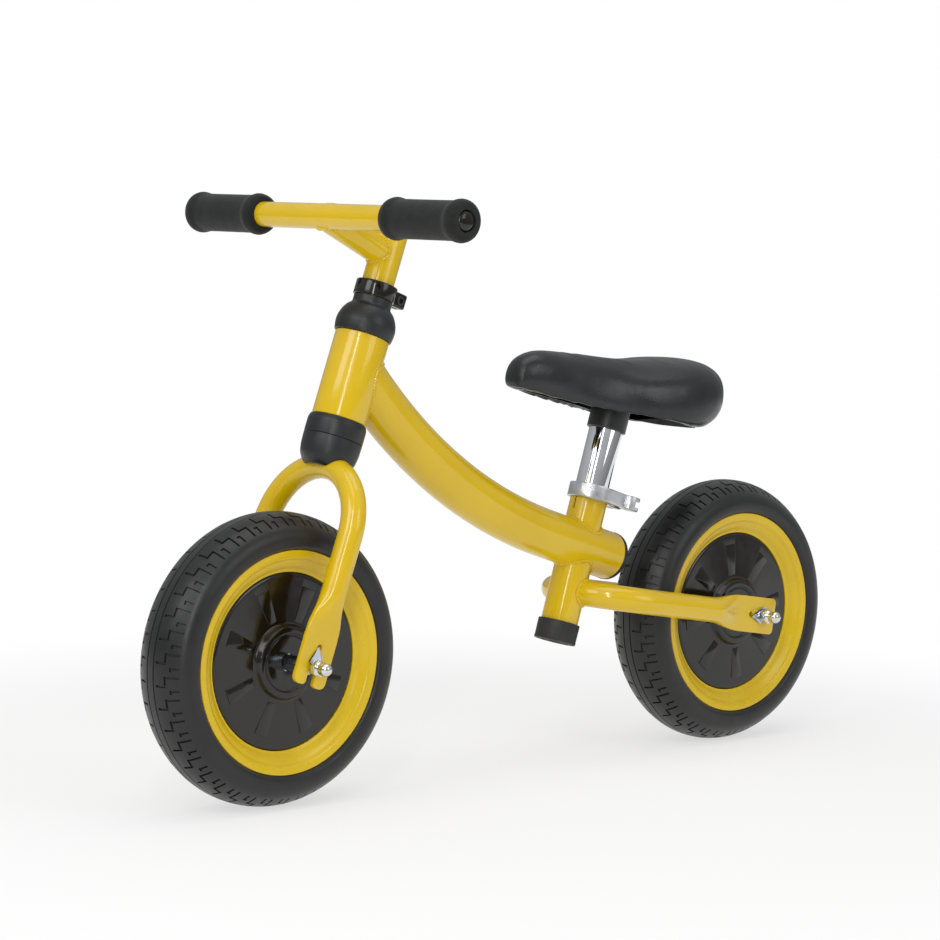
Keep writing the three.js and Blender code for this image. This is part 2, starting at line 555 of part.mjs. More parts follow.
// ---------------------------------------------------------------- handlebar
{
  const length = Math.hypot(BAR_REACH, BAR_HEIGHT - BRACE_HEIGHT);
  const lean = Math.atan2(BAR_REACH, BAR_HEIGHT - BRACE_HEIGHT);
  const brace = (radius, from, to) => solid(rod(radius, from, to).rotateY(lean).translate(0, 0, BRACE_HEIGHT));
  const bar = (radius, half) => solid(rodAcross(radius, -half, half, 24).translate(BAR_REACH, 0, BAR_HEIGHT));
  let body = solid(rod(STEM.radius, STEM_BOTTOM, STEM_TOP));
  body = body.add(bar(BAR.radius, BAR_HALF_LENGTH)).add(brace(BRACE.radius, 0, length));
  body = body.subtract(solid(rod(STEM.radius - STEM.wall, STEM_BOTTOM - 1, STEM_TOP + 1)));
  body = body.subtract(bar(BAR.radius - BAR.wall, BAR_HALF_LENGTH + 1));
  body = body.subtract(brace(BRACE.radius - BRACE.wall, 6, length - BAR.radius + 1.5));
  body = body.subtract(brace(5, 0, length));
  add('handlebar', body, YELLOW, headFrame);

  const plugInner = STEM.radius - STEM.wall - GAP;
  add('stem_top_plug', turned([
    [0, STEM_TOP - 10], [plugInner, STEM_TOP - 10], [plugInner, STEM_TOP + GAP], [STEM.radius, STEM_TOP + GAP],
    [STEM.radius - 0.8, STEM_TOP + 2.3], [0, STEM_TOP + 2.3],
  ]), BLACK_PLASTIC, headFrame);

  for (const [name, side] of [['left', 1], ['right', -1]]) {
    const bore = BAR.radius + GAP;
    const mouth = 9.7;
    const points = [
      [bore, 85], [15.8, 85], [18.25, 92], [16.8, 99], [16.8, 165], [18.25, 172], [15.8, 179], [mouth, 179],
      [mouth, 173.5], [bore, 173.5], [bore, 85],
    ];
    const grip = turnedAcross(points.map(([radius, y]) => [radius, side * y]));
    add(`${name}_grip`, grip.translate(BAR_REACH, 0, BAR_HEIGHT), FOAM, headFrame);
    const insert = BAR.radius - BAR.wall - GAP;
    const dome = [
      [0, 162], [insert, 162], [insert, 173.3], [9.4, 173.3], [9.4, 176.5], [7, 179.3], [0, 180],
    ];
    const plug = turnedAcross(dome.map(([radius, y]) => [radius, side * y]), 16);
    add(`${name}_grip_plug`, plug.translate(BAR_REACH, 0, BAR_HEIGHT), GLOSS_BLACK, headFrame);
  }
}

// ---------------------------------------------------------------- wheels and their axles
const HUB = { radius: 16, half: 24.5 };
const BEARING = { radius: 11, inner: 17.2, outer: 24.2 };
const RIM_RADIUS = 96.5;
const WHEEL_SEGMENTS = 24;
const COVER = { radius: 76.3, face: 20, thickness: 2.4, bore: 7.6 };

// A closed profile from its left half.
function bothSides(half) {
  return [...half, ...half.map(([radius, y]) => [radius, -y]).reverse(), half[0]];
}

// A wheel on its bearings, with the sleeves and the axle between the dropouts.
function addWheel(place, axleFrame) {
  const tyre = [
    [RIM_RADIUS + GAP, 29.4], [104, TYRE_HALF_WIDTH], [110.5, 31.4], [117, 26.5], [123.3, 17.5], [WHEEL_RADIUS, 9],
  ];
  add(`${place}_tyre`, turnedAcross(bothSides(tyre), WHEEL_SEGMENTS), RUBBER, axleFrame);

  const rim = [
    [RIM_RADIUS, 29], [89, 27], [76.8, 20.2], [76.8, 17.2], [91, 22.5], [93, 2.5],
    [HUB.radius, 2.5], [HUB.radius, HUB.half], [BEARING.radius + GAP, HUB.half],
  ];
  add(`${place}_rim`, turnedAcross(bothSides(rim), WHEEL_SEGMENTS), YELLOW, axleFrame);

  for (const [name, side] of [['left', 1], ['right', -1]]) {
    const { radius, face, thickness, bore } = COVER;
    const cover = [
      [bore, 26], [26, 26], [32.5, face], [radius, face], [radius, face - thickness],
      [HUB.radius + GAP, face - thickness], [HUB.radius + GAP, HUB.half + GAP], [bore, HUB.half + GAP], [bore, 26],
    ];
    const across = (points, segments) => turnedAcross(points.map(([r, y]) => [r, side * y]), segments);
    add(`${place}_cover_${name}`, across(cover, WHEEL_SEGMENTS), GLOSS_BLACK, axleFrame);
    const { radius: outer, inner: from, outer: to } = BEARING;
    const bearing = [
      [AXLE_RADIUS + RUNNING, from], [outer, from], [outer, to], [AXLE_RADIUS + RUNNING, to],
      [AXLE_RADIUS + RUNNING, from],
    ];
    add(`${place}_bearing_${name}`, across(bearing, 16), ZINC, axleFrame);

    const sleeve = [
      [AXLE_RADIUS + RUNNING, to + GAP], [7, to + GAP], [7, PLATE_INNER - GAP], [AXLE_RADIUS + RUNNING, PLATE_INNER - GAP],
      [AXLE_RADIUS + RUNNING, to + GAP],
    ];
    add(`${place}_axle_sleeve_${name}`, across(sleeve, 14), ZINC, axleFrame);
  }
  add(`${place}_axle`, rodAcross(AXLE_RADIUS, -AXLE_HALF_LENGTH, AXLE_HALF_LENGTH), ZINC, axleFrame);
}

// Tabbed washer whose tab drops into the hole above the axle, and the domed nut outside it.
function addAxleEnds(place, axleFrame, lean) {
  for (const [name, side] of [['left', 1], ['right', -1]]) {
    const outline = new THREE.Shape();
    outline.absarc(0, 0, 8.6, Math.PI * 0.82, Math.PI * 0.18, false);
    outline.lineTo(2, TAB_HOLE.distance + 1.6);
    outline.lineTo(-2, TAB_HOLE.distance + 1.6);
    outline.closePath();
    const hole = new THREE.Path();
    hole.absarc(0, 0, AXLE_RADIUS + GAP, 0, Math.PI * 2, true);
    outline.holes.push(hole);
    const thickness = 1.6;
    let washer = solid(extruded(outline, 0, thickness, 6));
    washer = washer.add(solid(block([-1.8, TAB_HOLE.distance - 0.6, -2.5], [1.8, TAB_HOLE.distance + 1.6, 0.5])));
    const upright = new THREE.Matrix4().makeRotationX(Math.PI / 2);
    const outward = new THREE.Matrix4().makeScale(1, side, 1);
    const turn = new THREE.Matrix4().makeRotationY(lean);
    const move = new THREE.Matrix4().makeTranslation(0, PLATE_OUTER + GAP, 0);
    const flip = new THREE.Matrix4().makeScale(1, -1, 1);
    const place4 = turn.multiply(outward).multiply(move).multiply(flip).multiply(upright);
    washer = washer.transform(place4.elements);
    add(`${place}_retention_washer_${name}`, washer, ZINC, axleFrame);

    const base = PLATE_OUTER + 2 * GAP + thickness;
    let nut = solid(new THREE.CylinderGeometry(7.2, 7.2, 5.6, 6).translate(0, base + 2.8, 0));
    nut = nut.add(solid(turnedAcross([[0, base + 2], [6.1, base + 2], [5, base + 6.6], [5, base + 11.5], [0, base + 11.5]], 12)));
    const dome = new THREE.SphereGeometry(5.6, 12, 6).translate(0, base + 13.1, 0);
    nut = nut.add(solid(dome));
    nut = nut.subtract(solid(rodAcross(AXLE_RADIUS + GAP, base - 1, AXLE_HALF_LENGTH + GAP)));
    nut = nut.transform(outward.elements);
    add(`${place}_dome_nut_${name}`, nut, CHROME, axleFrame);
  }
}

addWheel('front', frontFrame);
addAxleEnds('front', frontFrame, -radians(HEAD_ANGLE));
addWheel('rear', rearFrame);
addAxleEnds('rear', rearFrame, Math.PI / 2 - radians(STAY_ANGLE));

export default group;
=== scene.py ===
"""A balance bike for a small child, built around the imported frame.

Painted steel frame, fork and handlebar, foam tyres on plastic rims, and a saddle that slides in a
quick-release clamp. Lengths in the classes are millimetres in a sub-assembly's own local frame, and
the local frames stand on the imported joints. Every mesh is placed in metres.
"""

from __future__ import annotations

import json
import logging
import math
from collections.abc import Callable, Iterable, Sequence
from dataclasses import dataclass, field
from enum import Enum

import bmesh
import bpy
from bmesh.types import BMesh, BMVert
from mathutils import Matrix, Quaternion, Vector

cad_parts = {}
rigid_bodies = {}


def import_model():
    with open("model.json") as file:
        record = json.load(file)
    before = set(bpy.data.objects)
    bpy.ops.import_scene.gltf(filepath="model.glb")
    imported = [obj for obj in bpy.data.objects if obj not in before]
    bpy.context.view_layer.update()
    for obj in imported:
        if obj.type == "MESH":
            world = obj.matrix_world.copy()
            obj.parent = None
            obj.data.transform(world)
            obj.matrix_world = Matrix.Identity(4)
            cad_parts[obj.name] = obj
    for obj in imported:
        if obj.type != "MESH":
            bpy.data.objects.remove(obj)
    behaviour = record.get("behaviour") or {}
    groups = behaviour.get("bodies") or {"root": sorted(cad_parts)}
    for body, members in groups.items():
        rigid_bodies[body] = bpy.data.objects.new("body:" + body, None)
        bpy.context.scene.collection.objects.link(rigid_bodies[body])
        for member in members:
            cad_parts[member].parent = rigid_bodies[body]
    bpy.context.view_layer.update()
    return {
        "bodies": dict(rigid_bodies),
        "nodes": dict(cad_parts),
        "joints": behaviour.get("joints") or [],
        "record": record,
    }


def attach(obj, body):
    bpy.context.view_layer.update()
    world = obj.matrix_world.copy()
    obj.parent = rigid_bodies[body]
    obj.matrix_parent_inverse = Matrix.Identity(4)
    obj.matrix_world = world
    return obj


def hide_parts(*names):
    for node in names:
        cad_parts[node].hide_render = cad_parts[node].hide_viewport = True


LOG = logging.getLogger("balance_bike")
METRE = 0.001  # metres in a millimetre
AXLE_LINE = Matrix.Rotation(-math.pi / 2, 4, "X")  # turns a shape made round +Z to lie along +Y
Corner = tuple[float, ...]  # two coordinates, and how far the corner is cut back if it is rounded


class Slot(Enum):
    """The record's material slots."""

    YELLOW_ENAMEL = "yellow_enamel"
    YELLOW_PLASTIC = "yellow_plastic"
    FOAM_TYRE = "foam_tyre"
    GLOSS_BLACK_PLASTIC = "gloss_black_plastic"
    SATIN_BLACK_PLASTIC = "satin_black_plastic"
    GRIP_FOAM = "grip_foam"
    FOOT_RUBBER = "foot_rubber"
    BUSH_PLASTIC = "bush_plastic"
    CAST_ALUMINIUM = "cast_aluminium"
    ZINC_STEEL = "zinc_steel"
    BRIGHT_STEEL = "bright_steel"
    BLACK_STEEL = "black_steel"
    CHROME = "chrome"
    SADDLE_LEATHERETTE = "saddle_leatherette"


class Body(Enum):
    """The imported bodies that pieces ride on."""

    FRAME = "frame"
    FORK = "fork"
    HANDLEBAR = "handlebar"
    FRONT_WHEEL = "front_wheel"
    REAR_WHEEL = "rear_wheel"
    SADDLE = "saddle"
    LEVER = "clamp_lever"


class Side(Enum):
    """Left and right as the rider sees them, with the sign of Y."""

    LEFT = ("left", 1)
    RIGHT = ("right", -1)

    @property
    def word(self) -> str:
        """The side's name in piece names."""
        return self.value[0]

    @property
    def sign(self) -> int:
        """The sign of Y on this side."""
        return self.value[1]


# ---------------------------------------------------------------------------------------- finishes
def linear(hex_colour: str) -> tuple[float, float, float, float]:
    """Turns an sRGB hex colour into linear RGBA.

    Args:
        hex_colour: six hex digits after a hash.

    Returns:
        Linear red, green, blue and an alpha of 1.
    """
    channels = [int(hex_colour[i : i + 2], 16) / 255 for i in (1, 3, 5)]
    turned_linear = [c / 12.92 if c <= 0.04045 else ((c + 0.055) / 1.055) ** 2.4 for c in channels]
    return (*turned_linear, 1.0)


def add_node(
    tree: bpy.types.NodeTree,
    kind: str,
    settings: dict[str, object] | None = None,
    inputs: dict[str | int, object] | None = None,
) -> bpy.types.Node:
    """Adds one node with its settings, socket values and links.

    Args:
        tree: the node tree it goes into.
        kind: the node's type name, such as ShaderNodeTexNoise.
        settings: properties of the node itself.
        inputs: values by input socket, where another node's output socket makes a link.

    Returns:
        The new node.
    """
    node = tree.nodes.new(kind)
    for name, value in (settings or {}).items():
        setattr(node, name, value)
    for socket, value in (inputs or {}).items():
        if isinstance(value, bpy.types.NodeSocket):
            tree.links.new(value, node.inputs[socket])
        else:
            node.inputs[socket].default_value = value
    return node


def per_metre(size_mm: float) -> float:
    """The texture scale on metre coordinates of a pattern whose features are this many mm apart."""
    return 1.0 / (size_mm * METRE)


@dataclass(frozen=True)
class Relief:
    """One layer of surface relief, drawn by a noise or a cell pattern."""

    size: float  # mm from one feature to the next
    depth: float  # mm from low to high
    cells: bool = False
    strength: float = 1.0


@dataclass(frozen=True)
class Finish:
    """A real finish: its colour, how the colour wanders, its gloss and its relief."""

    slot: Slot
    colour: str
    shade: str
    roughness: tuple[float, float]
    colour_patch: float = 60.0  # mm across the patches where the colour wanders
    rough_patch: float = 25.0
    reliefs: tuple[Relief, ...] = ()
    sockets: tuple[tuple[str, float], ...] = ()

    def build(self) -> bpy.types.Material:
        """Makes the material's nodes and returns it."""
        material = bpy.data.materials.new(self.slot.value)
        material.use_nodes = True
        tree = material.node_tree
        shader = tree.nodes["Principled BSDF"]
        place = add_node(tree, "ShaderNodeTexCoord").outputs["Object"]
        self._colour(tree, shader, place)
        self._roughness(tree, shader, place)
        self._relief(tree, shader, place)
        for socket, value in self.sockets:
            shader.inputs[socket].default_value = value
        return material

    def _noise(self, tree: bpy.types.NodeTree, place: bpy.types.NodeSocket, size: float,
               detail: float = 3.0) -> bpy.types.NodeSocket:
        """A noise whose features are size mm apart, as a value from 0 to 1."""
        inputs = {"Vector": place, "Scale": per_metre(size), "Detail": detail, "Roughness": 0.55}
        return add_node(tree, "ShaderNodeTexNoise", inputs=inputs).outputs["Fac"]

    def _colour(self, tree: bpy.types.NodeTree, shader: bpy.types.Node,
                place: bpy.types.NodeSocket) -> None:
        """Lets the colour wander softly between the two shades."""
        patches = self._noise(tree, place, self.colour_patch)
        ramp = add_node(tree, "ShaderNodeValToRGB", inputs={"Fac": patches})
        low, high = ramp.color_ramp.elements
        low.position, high.position = 0.35, 0.65
        low.color, high.color = linear(self.shade), linear(self.colour)
        tree.links.new(ramp.outputs["Color"], shader.inputs["Base Color"])

    def _roughness(self, tree: bpy.types.NodeTree, shader: bpy.types.Node,
                   place: bpy.types.NodeSocket) -> None:
        """Lets the gloss wander between its two values, as handling leaves it."""
        low, high = self.roughness
        source = self._noise(tree, place, self.rough_patch, detail=6.0)
        inputs = {"Value": source, "From Min": 0.35, "From Max": 0.65, "To Min": low, "To Max": high}
        spread = add_node(tree, "ShaderNodeMapRange", inputs=inputs)
        tree.links.new(spread.outputs["Result"], shader.inputs["Roughness"])

    def _relief(self, tree: bpy.types.NodeTree, shader: bpy.types.Node,
                place: bpy.types.NodeSocket) -> None:
        """Chains one bump for each layer of relief, the coarsest first."""
        normal = None
        for layer in self.reliefs:
            if layer.cells:
                inputs = {"Vector": place, "Scale": per_metre(layer.size), "Smoothness": 0.35}
                settings = {"feature": "SMOOTH_F1"}
                height = add_node(tree, "ShaderNodeTexVoronoi", settings, inputs).outputs["Distance"]
            else:
                height = self._noise(tree, place, layer.size)
            inputs = {"Height": height, "Distance": layer.depth * METRE, "Strength": layer.strength}
            if normal is not None:
                inputs["Normal"] = normal
            normal = add_node(tree, "ShaderNodeBump", inputs=inputs).outputs["Normal"]
        if normal is not None:
            tree.links.new(normal, shader.inputs["Normal"])


FINISHES = (
    # Powder coat baked on steel tube: deep golden yellow, wet gloss, and a faint orange peel.
    Finish(Slot.YELLOW_ENAMEL, "#DEBA06", "#D6B204", (0.16, 0.24), 90.0, 30.0,
           (Relief(6.0, 0.012), Relief(1.6, 0.006)),
           (("IOR", 1.5), ("Coat Weight", 0.3), ("Coat Roughness", 0.05))),
    # Injection moulded polypropylene rim: a shade flatter than the paint, with slow mould ripple.
    Finish(Slot.YELLOW_PLASTIC, "#DFBC0A", "#D7B408", (0.2, 0.3), 50.0, 20.0,
           (Relief(9.0, 0.03), Relief(1.2, 0.006)), (("IOR", 1.49),)),
    # Moulded EVA foam with a closed skin: near black, soft sheen, fine pores drawn at 1.1 mm so they show.
    Finish(Slot.FOAM_TYRE, "#181918", "#131413", (0.34, 0.44), 30.0, 14.0,
           (Relief(7.0, 0.1), Relief(1.1, 0.05)), (("IOR", 1.48), ("Sheen Weight", 0.06))),
    # Polished ABS cover: piano black with light handling marks in its gloss.
    Finish(Slot.GLOSS_BLACK_PLASTIC, "#15130F", "#110F0C", (0.09, 0.17), 40.0, 12.0,
           (Relief(12.0, 0.03),), (("IOR", 1.53),)),
    # Moulded polypropylene with a spark-eroded satin grain.
    Finish(Slot.SATIN_BLACK_PLASTIC, "#1A1C1D", "#151718", (0.36, 0.46), 30.0, 10.0,
           (Relief(1.0, 0.03),), (("IOR", 1.5),)),
    # Open-cell grip foam: matt and soft, its cells drawn at 1.3 mm so they show.
    Finish(Slot.GRIP_FOAM, "#141516", "#0E0F10", (0.8, 0.95), 18.0, 8.0,
           (Relief(1.3, 0.25, cells=True), Relief(0.7, 0.1)),
           (("Sheen Weight", 0.12), ("Sheen Roughness", 0.5), ("IOR", 1.45))),
    # Moulded synthetic rubber: dull, with a dusty bloom.
    Finish(Slot.FOOT_RUBBER, "#272725", "#1E1E1D", (0.5, 0.62), 20.0, 8.0,
           (Relief(1.2, 0.05),), (("IOR", 1.5),)),
    # Acetal plain bearing: creamy and smooth.
    Finish(Slot.BUSH_PLASTIC, "#D9D4C2", "#CFC9B4", (0.3, 0.4), 20.0, 8.0,
           (Relief(3.0, 0.01),), (("IOR", 1.48),)),
    # Die-cast aluminium, tumbled: pale grey metal with a fine cast skin.
    Finish(Slot.CAST_ALUMINIUM, "#D6D8DA", "#BFC2C5", (0.28, 0.42), 14.0, 5.0,
           (Relief(1.4, 0.05), Relief(0.8, 0.02)), (("Metallic", 1.0),)),
    # Zinc plated and blue passivated steel: bright with a cool mottle.
    Finish(Slot.ZINC_STEEL, "#D3DCE4", "#B3C0CC", (0.16, 0.3), 6.0, 4.0,
           (Relief(1.5, 0.02),), (("Metallic", 1.0),)),
    # Nickel plated and polished steel nut.
    Finish(Slot.BRIGHT_STEEL, "#E3E4E2", "#D4D5D2", (0.06, 0.12), 8.0, 5.0,
           (Relief(3.0, 0.006),), (("Metallic", 1.0),)),
    # Black oxide on a steel bolt: dull and a little oily.
    Finish(Slot.BLACK_STEEL, "#1B1B1C", "#141415", (0.32, 0.45), 6.0, 4.0,
           (Relief(1.5, 0.02),), (("IOR", 1.6),)),
    # Chrome plate over a drawn tube: a mirror with a few slow draw marks.
    Finish(Slot.CHROME, "#E6E8EA", "#DADDE0", (0.03, 0.08), 40.0, 20.0,
           (Relief(14.0, 0.01),), (("Metallic", 1.0),)),
    # Polyurethane leathercloth: black, satin, embossed with a fine pebble grain.
    Finish(Slot.SADDLE_LEATHERETTE, "#202224", "#191B1D", (0.27, 0.36), 50.0, 18.0,
           (Relief(16.0, 0.25), Relief(1.5, 0.09, cells=True, strength=0.8), Relief(0.9, 0.03)),
           (("IOR", 1.5),)),
)


# ------------------------------------------------------------------------------------- mesh making
def verts_of(result: dict[str, list]) -> list[BMVert]:
    """The vertices among what a bmesh operator made."""
    return [item for item in result["geom"] if isinstance(item, BMVert)]


def placed(bm: BMesh, matrix: Matrix) -> BMesh:
    """Moves a whole mesh by a matrix and returns it."""
    bmesh.ops.transform(bm, matrix=matrix, verts=bm.verts[:])
    if matrix.determinant() < 0:
        bmesh.ops.reverse_faces(bm, faces=bm.faces[:])
    return bm


def moved(bm: BMesh, x: float = 0.0, y: float = 0.0, z: float = 0.0) -> BMesh:
    """Moves a whole mesh and returns it."""
    return placed(bm, Matrix.Translation((x, y, z)))


def round_corners(bm: BMesh, verts: Sequence[BMVert], corners: Sequence[Corner], segments: int) -> None:
    """Rounds the corners of a wire or a flat face that carry a third number, their cut-back.

    Args:
        bm: the mesh.
        verts: the corners' vertices, in the same order as the corners.
        corners: two coordinates each, and the cut-back where the corner is round.
        segments: steps in each rounded corner.
    """
    for cut in sorted({corner[2] for corner in corners if len(corner) > 2}):
        chosen = [v for v, corner in zip(verts, corners) if len(corner) > 2 and corner[2] == cut]
        bmesh.ops.bevel(bm, geom=chosen, offset=cut, offset_type="OFFSET", affect="VERTICES",
                        segments=segments, profile=0.5, material=-1)


def wire(profile: Sequence[Corner], closed: bool, segments: int) -> BMesh:
    """Draws a profile as a wire in the XZ plane.

    Args:
        profile: its corners in order, with a cut-back where one is round.
        closed: whether the last corner joins the first.
        segments: steps in each rounded corner.

    Returns:
        The wire.
    """
    bm = bmesh.new()
    verts = [bm.verts.new((corner[0], 0.0, corner[1])) for corner in profile]
    ends = verts[1:] + verts[:1] if closed else verts[1:]
    for start, end in zip(verts, ends):
        bm.edges.new((start, end))
    round_corners(bm, verts, profile, segments)
    return bm


def turned(profile: Sequence[Corner], closed: bool = True, steps: int = 96, segments: int = 4) -> BMesh:
    """Turns a profile of (radius, height) corners round +Z.

    Args:
        profile: corners in order. A closed profile is a ring, an open one starts and ends on the axis.
        closed: whether the last corner joins the first.
        steps: steps round the axis.
        segments: steps in each rounded corner.

    Returns:
        The closed solid.
    """
    bm = wire(profile, closed, segments)
    bmesh.ops.spin(bm, geom=bm.verts[:] + bm.edges[:], cent=(0, 0, 0), axis=(0, 0, 1), dvec=(0, 0, 0),
                   angle=math.tau, steps=steps, use_merge=True, use_duplicate=False)
    bmesh.ops.remove_doubles(bm, verts=bm.verts[:], dist=1e-4)
    bmesh.ops.recalc_face_normals(bm, faces=bm.faces[:])
    return bm


def rod(radius: float, bottom: float, top: float, steps: int = 64, cut: float = 0.0) -> BMesh:
    """A round rod along +Z.

    Args:
        radius: mm.
        bottom: the height of its lower end.
        top: the height of its upper end.
        steps: steps round it.
        cut: how far the edges of its ends are cut back.

    Returns:
        The closed solid.
    """
    corner = (cut,) if cut else ()
    return turned([(0.0, bottom), (radius, bottom, *corner), (radius, top, *corner), (0.0, top)],
                  closed=False, steps=steps, segments=3)


def ring(inner: float, outer: float, bottom: float, top: float, cut: float = 0.0,
         steps: int = 96) -> BMesh:
    """A tube or ring along +Z.

    Args:
        inner: the radius of its bore.
        outer: its outer radius.
        bottom: the height of its lower end.
        top: the height of its upper end.
        cut: how far its outer edges are cut back.
        steps: steps round it.

    Returns:
        The closed solid.
    """
    corner = (cut,) if cut else ()
    corners = [(inner, bottom), (outer, bottom, *corner), (outer, top, *corner), (inner, top)]
    return turned(corners, steps=steps, segments=3)


def block(low: Sequence[float], high: Sequence[float]) -> BMesh:
    """A box between two corners."""
    bm = bmesh.new()
    bmesh.ops.create_cube(bm, size=1.0)
    size = [b - a for a, b in zip(low, high)]
    middle = [(a + b) / 2 for a, b in zip(low, high)]
    return placed(bm, Matrix.Translation(middle) @ Matrix.Diagonal((*size, 1.0)))


def plate(outline: Sequence[Corner], bottom: float, top: float, segments: int = 6) -> BMesh:
    """A flat plate across Z.

    Args:
        outline: its (x, y) corners in order, with a cut-back where one is round.
        bottom: the height of its lower face.
        top: the height of its upper face.
        segments: steps in each rounded corner.

    Returns:
        The closed solid.
    """
    bm = bmesh.new()
    verts = [bm.verts.new((corner[0], corner[1], bottom)) for corner in outline]
    bm.faces.new(verts)
    round_corners(bm, verts, outline, segments)
    lifted = bmesh.ops.extrude_face_region(bm, geom=bm.faces[:])
    bmesh.ops.translate(bm, vec=(0, 0, top - bottom), verts=verts_of(lifted))
    bmesh.ops.recalc_face_normals(bm, faces=bm.faces[:])
    return bm


def soften(bm: BMesh, cut: float, segments: int = 2, sharper_than: float = 40.0) -> BMesh:
    """Bevels the sharp edges of a solid.

    Args:
        bm: the solid.
        cut: how far each edge is cut back.
        segments: steps across the rounded edge.
        sharper_than: degrees between two faces above which their edge is sharp.

    Returns:
        The same mesh, bevelled.
    """
    limit = math.radians(sharper_than)
    edges = [e for e in bm.edges if len(e.link_faces) == 2 and e.calc_face_angle() > limit]
    bmesh.ops.bevel(bm, geom=edges, offset=cut, offset_type="OFFSET", affect="EDGES", segments=segments,
                    profile=0.5, material=-1, clamp_overlap=True)
    return bm


@dataclass
class BentRod:
    """A round rod that grows along a path: it remembers the loop of edges at its growing end."""

    radius: float
    start: Matrix
    sides: int = 48
    bm: BMesh = field(default_factory=bmesh.new)

    def __post_init__(self) -> None:
        """Starts with a capped circle whose +Z is the way the rod grows."""
        bmesh.ops.create_circle(self.bm, cap_ends=True, radius=self.radius, segments=self.sides,
                                matrix=self.start)
        self.way = self.start.to_3x3() @ Vector((0, 0, 1))
        self.end = list(self.bm.edges)

    def straight(self, length: float, steps: int = 1) -> BentRod:
        """Grows straight on, in equal steps.

        Args:
            length: mm grown in all.
            steps: how many steps it takes.

        Returns:
            The rod itself, so that calls can follow one another.
        """
        for _ in range(steps):
            grown = bmesh.ops.extrude_edge_only(self.bm, edges=self.end)
            bmesh.ops.translate(self.bm, vec=self.way * (length / steps), verts=verts_of(grown))
            self.end = [item for item in grown["geom"] if isinstance(item, bmesh.types.BMEdge)]
            verts = set(verts_of(grown))
            self.end = [edge for edge in self.end if edge.verts[0] in verts and edge.verts[1] in verts]
        return self

    def bend(self, centre: Vector, axis: Vector, angle: float, steps: int) -> BentRod:
        """Grows round a centre.

        Args:
            centre: the bend's middle.
            axis: the direction the bend turns about.
            angle: how far it turns, in radians.
            steps: how many steps it takes.

        Returns:
            The rod itself, so that calls can follow one another.
        """
        geometry = self.end + list({vert for edge in self.end for vert in edge.verts})
        spun = bmesh.ops.spin(self.bm, geom=geometry, cent=centre, axis=axis, dvec=(0, 0, 0), angle=angle,
                              steps=steps, use_merge=False, use_duplicate=False)
        self.end = [item for item in spun["geom_last"] if isinstance(item, bmesh.types.BMEdge)]
        self.way = Quaternion(axis, angle) @ self.way
        return self

    def closed(self) -> BMesh:
        """Caps the growing end and returns the solid."""
        bmesh.ops.edgeloop_fill(self.bm, edges=self.end)
        bmesh.ops.recalc_face_normals(self.bm, faces=self.bm.faces[:])
        return self.bm


def scratch_object(bm: BMesh) -> bpy.types.Object:
    """A short-lived object that holds a mesh while a modifier works on it."""
    mesh = bpy.data.meshes.new("scratch")
    bm.to_mesh(mesh)
    bm.free()
    scratch = bpy.data.objects.new("scratch", mesh)
    bpy.context.scene.collection.objects.link(scratch)
    return scratch


def evaluated(scratch: bpy.types.Object) -> BMesh:
    """The mesh of an object with its modifiers applied."""
    graph = bpy.context.evaluated_depsgraph_get()
    mesh = bpy.data.meshes.new_from_object(scratch.evaluated_get(graph), depsgraph=graph)
    bm = bmesh.new()
    bm.from_mesh(mesh)
    bpy.data.meshes.remove(mesh)
    return bm


def combined(base: BMesh, added: Iterable[BMesh] = (), cut: Iterable[BMesh] = (),
             kept: Iterable[BMesh] = ()) -> BMesh:
    """Joins solids to a base solid, cuts others away from it, and keeps what lies inside the rest.

    Args:
        base: the solid worked on.
        added: solids joined to it, in order.
        cut: solids taken away, in order, after the joins.
        kept: solids that bound what is left.

    Returns:
        The one solid left. The meshes handed in are freed.
    """
    subject = scratch_object(base)
    work = [("UNION", bm) for bm in added]
    work += [("DIFFERENCE", bm) for bm in cut]
    work += [("INTERSECT", bm) for bm in kept]
    tools = [(operation, scratch_object(bm)) for operation, bm in work]
    for operation, tool in tools:
        modifier = subject.modifiers.new(operation.lower(), "BOOLEAN")
        modifier.operation, modifier.object, modifier.solver = operation, tool, "MANIFOLD"
    bm = evaluated(subject)
    for scratch in [subject] + [tool for _, tool in tools]:
        mesh = scratch.data
        bpy.data.objects.remove(scratch)
        bpy.data.meshes.remove(mesh)
    bmesh.ops.dissolve_degenerate(bm, dist=1e-4, edges=bm.edges[:])
    return bm


def merged(meshes: Iterable[BMesh]) -> BMesh:
    """Puts separate solids into one mesh without joining them."""
    whole = bmesh.new()
    for bm in meshes:
        carrier = bpy.data.meshes.new("carrier")
        bm.to_mesh(carrier)
        bm.free()
        whole.from_mesh(carrier)
        bpy.data.meshes.remove(carrier)
    return whole


def hull_only(bm: BMesh) -> BMesh:
    """Keeps only the outer hull of a mesh, as a clean closed solid."""
    loose = [face for face in bm.faces if any(not edge.is_manifold for edge in face.edges)]
    bmesh.ops.delete(bm, geom=loose, context="FACES_ONLY")
    bmesh.ops.dissolve_limit(bm, angle_limit=math.radians(1), verts=bm.verts[:], edges=bm.edges[:])
    bmesh.ops.recalc_face_normals(bm, faces=bm.faces[:])
    return bm


BEAD_STEP = 0.5  # mm between the points of a bead's line


